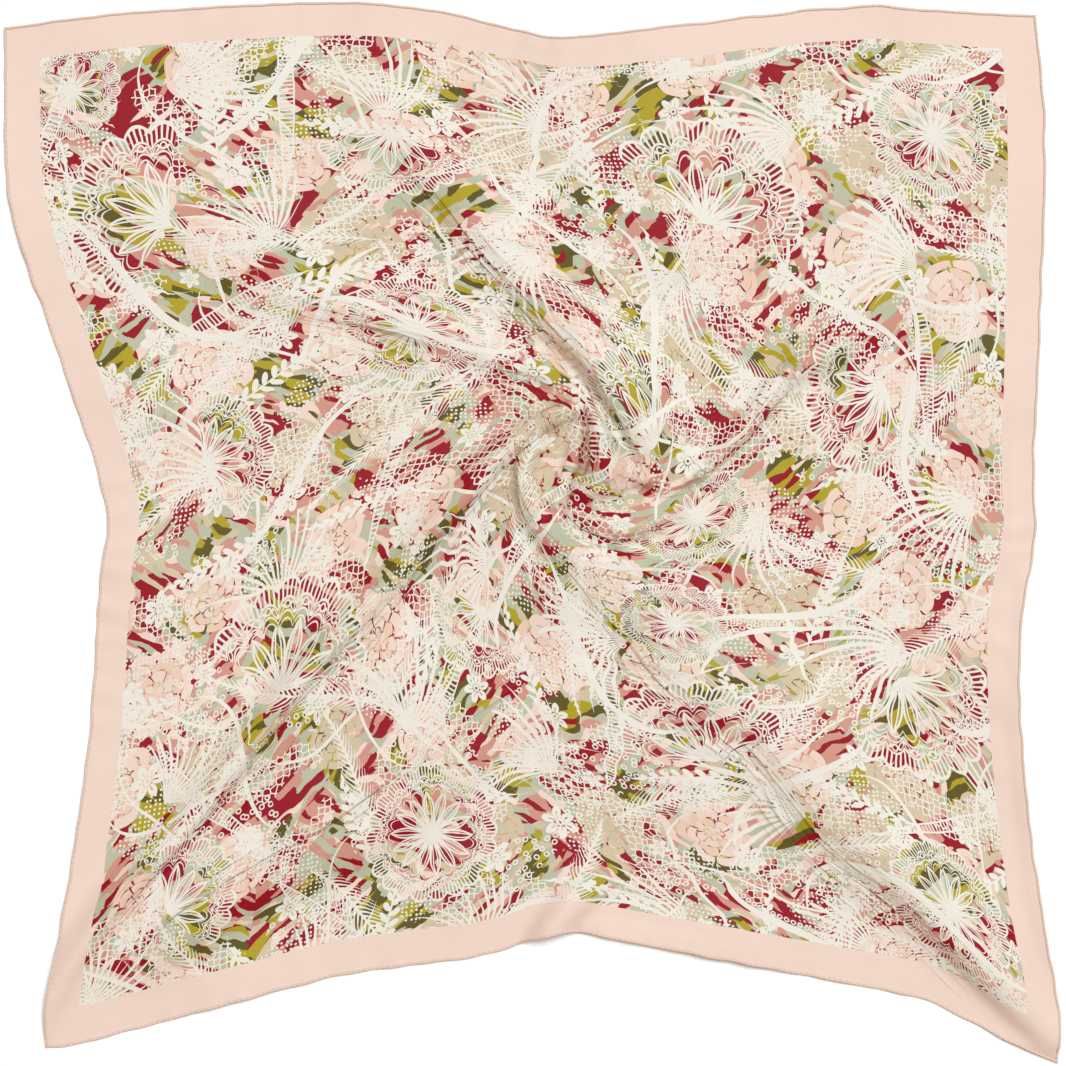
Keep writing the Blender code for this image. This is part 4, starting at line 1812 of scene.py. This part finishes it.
@dataclass(frozen=True)
class RolledSilk(Silk):
    """The same silk rolled into a thin hem, so its ribs wind round it.

    Each slip stitch is a dimple with painted shade in it: there the colour turns to a darker
    thread colour, which stands both for the thread and for the dimple's shade. The roll is a
    touch darker than the flat border.
    """

    name: ClassVar[str] = "rolled_silk_hem"
    cloth: str = "#E4CABC"
    # the stitches' thread colour, darkened to paint the shade in each stitch's dimple
    thread_and_shade: str = "#DCBEB0"
    stitch_mm: float = 5.0
    stitch_narrowness: float = 60.0
    rib_mm: float = 1.1
    rib_lead_mm: float = 6.0        # that the ribs run on in one turn
    slubs_a_metre: float = 90.0
    dye_spread: float = 0.10

    def surface(self, canvas: Canvas) -> tuple[Value, Value, Value]:
        """Wind the ribs round the roll, and paint shade into its stitches.

        Args:
            canvas: where they are drawn.

        Returns:
            The colour, the roughness and the bumped normal.
        """
        add = canvas.add
        roll = add("roll")
        along, turn, _ = roll.into("split")
        run = along * (1 / MM)
        wound = turn * self.rib_lead_mm + run
        ribs = (wound * (FULL_TURN / self.rib_mm)).to("SINE")
        off = (run / self.stitch_mm).to("FRACT") - 0.5
        # painted shade: near each stitch the colour turns to a darker one, for its thread and for
        # the dimple's shade
        shade = (off * off * -self.stitch_narrowness).to("EXPONENT")
        slubs = add("cloud", roll, Scale=self.slubs_a_metre, Detail=2.0)
        bump = add("bump", Strength=1.0, Distance=self.rib_depth,
                   Height=slubs * self.slub_swell + ribs)
        uneven = slubs * self.dye_spread + (1 - self.dye_spread / 2)
        dyed_with_painted_shade = add("over", shade, linear(self.cloth), linear(self.thread_and_shade))
        return add("v SCALE", dyed_with_painted_shade, Scale=uneven), add("between", slubs, *self.roughness), bump


# ---------------------------------------------------------------------------------------------
# The cloth
# ---------------------------------------------------------------------------------------------

def alone(item: bpy.types.Object) -> None:
    """Select one object and nothing else, and make it the active one.

    Args:
        item: the object.
    """
    bpy.ops.object.select_all(action="DESELECT")
    item.select_set(True)
    bpy.context.view_layer.objects.active = item


def read(items: bpy.types.bpy_prop_collection, name: str, width: int, kind: type) -> np.ndarray:
    """A property of every item of a mesh, as rows of so many numbers.

    Args:
        items: vertices, corners or faces.
        name: the property.
        width: how many numbers it has.
        kind: float or int.

    Returns:
        A row for each item.
    """
    values = np.empty(len(items) * width, kind)
    items.foreach_get(name, values)
    return values.reshape(-1, width)


def laid_grid(name: str, places: np.ndarray, uv_name: str,
              uv: np.ndarray) -> tuple[bpy.types.Object, tuple[np.ndarray, np.ndarray]]:
    """Lay a grid of cells on given places.

    Args:
        name: the piece's name.
        places: where each point goes, by column and row.
        uv_name: its UV map's name.
        uv: the map's coordinates of each point, by column and row.

    Returns:
        The piece, and the column and the row of each corner of its cells.
    """
    columns, rows = places.shape[0] - 1, places.shape[1] - 1
    bpy.ops.object.select_all(action="DESELECT")
    bpy.ops.mesh.primitive_grid_add(
        x_subdivisions=columns, y_subdivisions=rows, size=2, calc_uvs=False)
    piece = bpy.context.object
    piece.name = name
    piece.data.name = name
    flat = read(piece.data.vertices, "co", 3, float)
    column = np.rint((flat[:, 0] + 1) / 2 * columns).astype(int)
    row = np.rint((flat[:, 1] + 1) / 2 * rows).astype(int)
    piece.data.vertices.foreach_set("co", places[column, row].ravel())
    corner = read(piece.data.loops, "vertex_index", 1, int)[:, 0]
    at = column[corner], row[corner]
    piece.data.uv_layers.new(name=uv_name).data.foreach_set("uv", uv[at].ravel())
    return piece, at


def smooth(piece: bpy.types.Object) -> None:
    """Shade a piece smoothly, but for its sharp edges."""
    piece.data.shade_smooth()
    piece.data.set_sharp_from_angle(angle=math.radians(60))


@dataclass
class SilkSquare:
    """The square of cloth: a thin shell over its folds, with the flat cut as its UV map."""

    flat_cut: FlatCut
    silk: PrintedSilkTwill
    name: str = "silk_square"
    thickness: float = 0.0005
    stiffness_steps: int = 3        # the cloth's own stiffness rounds off the tightest bends
    printed_share: float = 0.925    # of the bake map, for the printed face
    bake_margin: float = 0.004
    upward: float = 0.02            # a printed face's normal rises more than this

    def places(self) -> tuple[np.ndarray, np.ndarray, np.ndarray]:
        """Shares across and down, and the places of the upper face.

        Returns:
            The shares at the columns and at the rows, and the places.
        """
        across, down, plan = self.flat_cut.laid()
        height = self.flat_cut.relief.main(plan[..., 0], plan[..., 1]) + self.thickness
        for _ in range(self.stiffness_steps):
            beside = height[2:, 1:-1] + height[:-2, 1:-1] + height[1:-1, 2:] + height[1:-1, :-2]
            height[1:-1, 1:-1] = 0.5 * height[1:-1, 1:-1] + 0.125 * beside
        return across, down, np.dstack((plan, height))

    def build(self) -> bpy.types.Object:
        """Build the shell and dress it.

        Returns:
            The cloth.
        """
        across, down, places = self.places()
        uv = np.dstack(np.meshgrid(across, 1 - down, indexing="ij"))[:, ::-1]
        places = places[:, ::-1]
        cloth, corner = laid_grid(self.name, places, "flat_cut", uv)
        self.silk.design.carry(cloth.data, uv[corner])
        self.silk.wrinkles.carry(cloth.data, places[corner][:, :2])
        thicken = cloth.modifiers.new("thickness", "SOLIDIFY")
        thicken.thickness = self.thickness
        thicken.offset = -1
        alone(cloth)
        bpy.ops.object.modifier_apply(modifier=thicken.name)
        self.lay_out_bake_map(cloth.data)
        smooth(cloth)
        cloth.data.materials.append(self.silk.material())
        return cloth

    def lay_out_bake_map(self, mesh: bpy.types.Mesh) -> None:
        """Give the printed face most of the bake map, and the plain reverse a corner of it.

        Args:
            mesh: the shell's mesh.
        """
        cut = read(mesh.uv_layers["flat_cut"].data, "uv", 2, float)
        rise = read(mesh.polygons, "normal", 3, float)[:, 2]
        sides = read(mesh.polygons, "loop_total", 1, int)[:, 0]
        front = self.bake_margin + cut * (self.printed_share - 2 * self.bake_margin)
        back = self.printed_share + (1 - self.printed_share) * (0.1 + 0.8 * cut)
        bake = np.where(np.repeat(rise, sides)[:, None] > self.upward, front, back)
        mesh.uv_layers.new(name="OFBake").data.foreach_set("uv", bake.ravel())
        reverse = mesh.attributes.new("reverse", "FLOAT", "FACE")
        reverse.data.foreach_set("value", (rise < self.upward).astype(float))


@dataclass
class RolledHem:
    """One side's edge, rolled over by hand and slip-stitched every few millimetres."""

    edge: Edge
    flat_cut: FlatCut
    width: float = 0.0023
    height: float = 0.0017
    stations: int = 720
    around: int = 10
    stitch_pitch: float = 0.005
    stitch_reach: float = 0.16      # of the pitch
    stitch_pinch: float = 0.07
    corner_gap: float = 0.00004

    def centre_line(self) -> tuple[np.ndarray, np.ndarray]:
        """The roll's middle in plan, and the mitred way in at each station.

        Returns:
            The points and the rays as rows.
        """
        at = np.linspace(0, 1, self.stations + 1)
        loop = self.flat_cut.outline.loop(at, at)
        first = list(Edge).index(self.edge) * self.stations
        pick = (np.arange(self.stations + 1) + first) % len(loop)
        return loop[pick], inward_rays(loop)[pick]

    def places(self) -> tuple[np.ndarray, np.ndarray]:
        """Run of each station along the cloth, and the roll's places, round each station.

        Returns:
            The runs, and the places by station and turn.
        """
        line, ray = self.centre_line()
        run = running(np.linalg.norm(np.diff(line, axis=0), axis=1))
        stitch = (run / self.stitch_pitch) % 1 - 0.5
        girth = 1 - self.stitch_pinch * np.exp(-(stitch / self.stitch_reach) ** 2)
        angle = np.arange(self.around + 1) / self.around * 2 * np.pi
        inward = self.width / 2 * (1 - np.outer(girth, np.cos(angle)))
        lift = self.height / 2 * (1 + np.outer(girth, np.sin(angle)))
        along = np.gradient(line, axis=0)
        along /= np.linalg.norm(along, axis=1)[:, None]
        trim = np.zeros(len(run))
        trim[0], trim[-1] = self.corner_gap, -self.corner_gap
        plan = line[:, None] + ray[:, None] * inward[..., None] + (along * trim[:, None])[:, None]
        base = self.flat_cut.relief.main(*(line + ray * self.width / 2).T)
        return run, np.dstack((plan, base[:, None] + lift))

    def build(self, material: bpy.types.Material) -> bpy.types.Object:
        """Build the roll from a strip of cloth, closed round and at both ends.

        Args:
            material: the rolled silk.

        Returns:
            The hem.
        """
        run, places = self.places()
        turns = np.arange(self.around + 1) / self.around
        uv = np.dstack(np.meshgrid(run, turns, indexing="ij"))
        hem, _ = laid_grid(self.edge.value + "_rolled", places, "roll", uv)
        alone(hem)
        bpy.ops.object.mode_set(mode="EDIT")
        bpy.ops.mesh.select_all(action="SELECT")
        bpy.ops.mesh.remove_doubles(threshold=1e-6)
        bpy.ops.mesh.fill_holes(sides=0)
        bpy.ops.mesh.select_all(action="SELECT")
        bpy.ops.mesh.normals_make_consistent(inside=False)
        bpy.ops.object.mode_set(mode="OBJECT")
        smooth(hem)
        hem.data.materials.append(material)
        return hem


# ---------------------------------------------------------------------------------------------
# Studio
# ---------------------------------------------------------------------------------------------

@dataclass
class Studio:
    """A plain pale table under one broad soft light, looked at from straight above."""

    table_side: float = 40.0
    table_drop: float = 0.0004
    view_height: float = 2.6
    view_width: float = 0.9232
    view_centre: tuple[float, float] = (0.0009, -0.0004)
    sensor_mm: float = 36.0
    light_from: tuple[float, float] = (math.radians(56), math.radians(67))
    light_away: float = 12.0
    light_side: float = 6.0
    light_watts: float = 1375.0
    light_colour: str = "#E4F4FF"
    sky_strength: float = 0.46
    sky_colour: str = "#FFE1C3"     # as warm as the light is cool, so only the shade is tinted
    backdrop: str = "#EFECE7"
    table_colour: str = "#FEFEFE"
    table_roughness: float = 0.9
    table_shine: float = 0.2
    view_reach: float = 20.0

    def table(self) -> None:
        """Lay the table under the scarf."""
        bpy.ops.mesh.primitive_plane_add(size=self.table_side, location=(0, 0, -self.table_drop))
        table = bpy.context.object
        table.name = "table"
        material = bpy.data.materials.new("matt_white_card")
        material.use_nodes = True
        shader = material.node_tree.nodes["Principled BSDF"]
        shader.inputs["Base Color"].default_value = linear(self.table_colour)
        shader.inputs["Roughness"].default_value = self.table_roughness
        shader.inputs["Specular IOR Level"].default_value = self.table_shine
        table.data.materials.append(material)

    def lights(self) -> None:
        """Hang one broad light, up to the right and well away, and an even sky.

        The sky lights the scarf in its own tint, and looks like a pale backdrop.
        """
        data = bpy.data.lights.new("broad_light", "AREA")
        data.shape = "DISK"
        data.size = self.light_side
        data.energy = self.light_watts
        data.color = linear(self.light_colour)[:3]
        light = bpy.data.objects.new("broad_light", data)
        bpy.context.scene.collection.objects.link(light)
        bearing, rise = self.light_from
        towards = Vector((math.cos(bearing) * math.cos(rise),
                          math.sin(bearing) * math.cos(rise),
                          math.sin(rise)))
        light.location = towards * self.light_away
        light.rotation_euler = towards.to_track_quat("Z", "Y").to_euler()
        world = bpy.data.worlds.new("sky")
        bpy.context.scene.world = world
        world.use_nodes = True
        tree = world.node_tree
        sky = tree.nodes["Background"]
        sky.inputs["Color"].default_value = linear(self.sky_colour)
        sky.inputs["Strength"].default_value = self.sky_strength
        seen = add_node(tree, "ShaderNodeBackground", {}, {"Color": linear(self.backdrop)})
        ray = add_node(tree, "ShaderNodeLightPath", {}, {})
        either = add_node(tree, "ShaderNodeMixShader", {}, {
            0: ray.outputs["Is Camera Ray"], 1: sky.outputs[0], 2: seen.outputs[0]})
        tree.links.new(either.outputs[0], tree.nodes["World Output"].inputs["Surface"])

    def camera(self) -> None:
        """Set the camera straight above the middle."""
        data = bpy.data.cameras.new("overhead")
        data.sensor_width = self.sensor_mm
        data.lens = self.sensor_mm * self.view_height / self.view_width
        data.clip_end = self.view_reach
        camera = bpy.data.objects.new("overhead", data)
        camera.location = (*self.view_centre, self.view_height)
        bpy.context.scene.collection.objects.link(camera)
        bpy.context.scene.camera = camera
        bpy.context.scene.view_settings.view_transform = "Standard"

    def build(self) -> None:
        """Build all of it."""
        self.table()
        self.lights()
        self.camera()


def main() -> None:
    """Build the scarf and the studio round it."""
    outline = Outline()
    pleats = [fold for seed, run in enumerate(PLEAT_RUNS)
              for fold in pleat_folds(outline, run, seed)]
    relief = Relief(FOLDS, CREASES, PRESSES, pleats)
    flat_cut = FlatCut(relief, outline)
    cloth = SilkSquare(flat_cut, PrintedSilkTwill()).build()
    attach(cloth, "root")
    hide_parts("panel")
    rolled = RolledSilk().material()
    for edge in Edge:
        hem = RolledHem(edge, flat_cut).build(rolled)
        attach(hem, "root")
        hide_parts(edge.value)
        LOG.info("%s: %d faces", hem.name, len(hem.data.polygons))
    LOG.info("%s: %d faces", cloth.name, len(cloth.data.polygons))
    Studio().build()


if __name__ == "__main__":
    logging.basicConfig(level=logging.INFO, format="%(name)s: %(message)s")
    main()
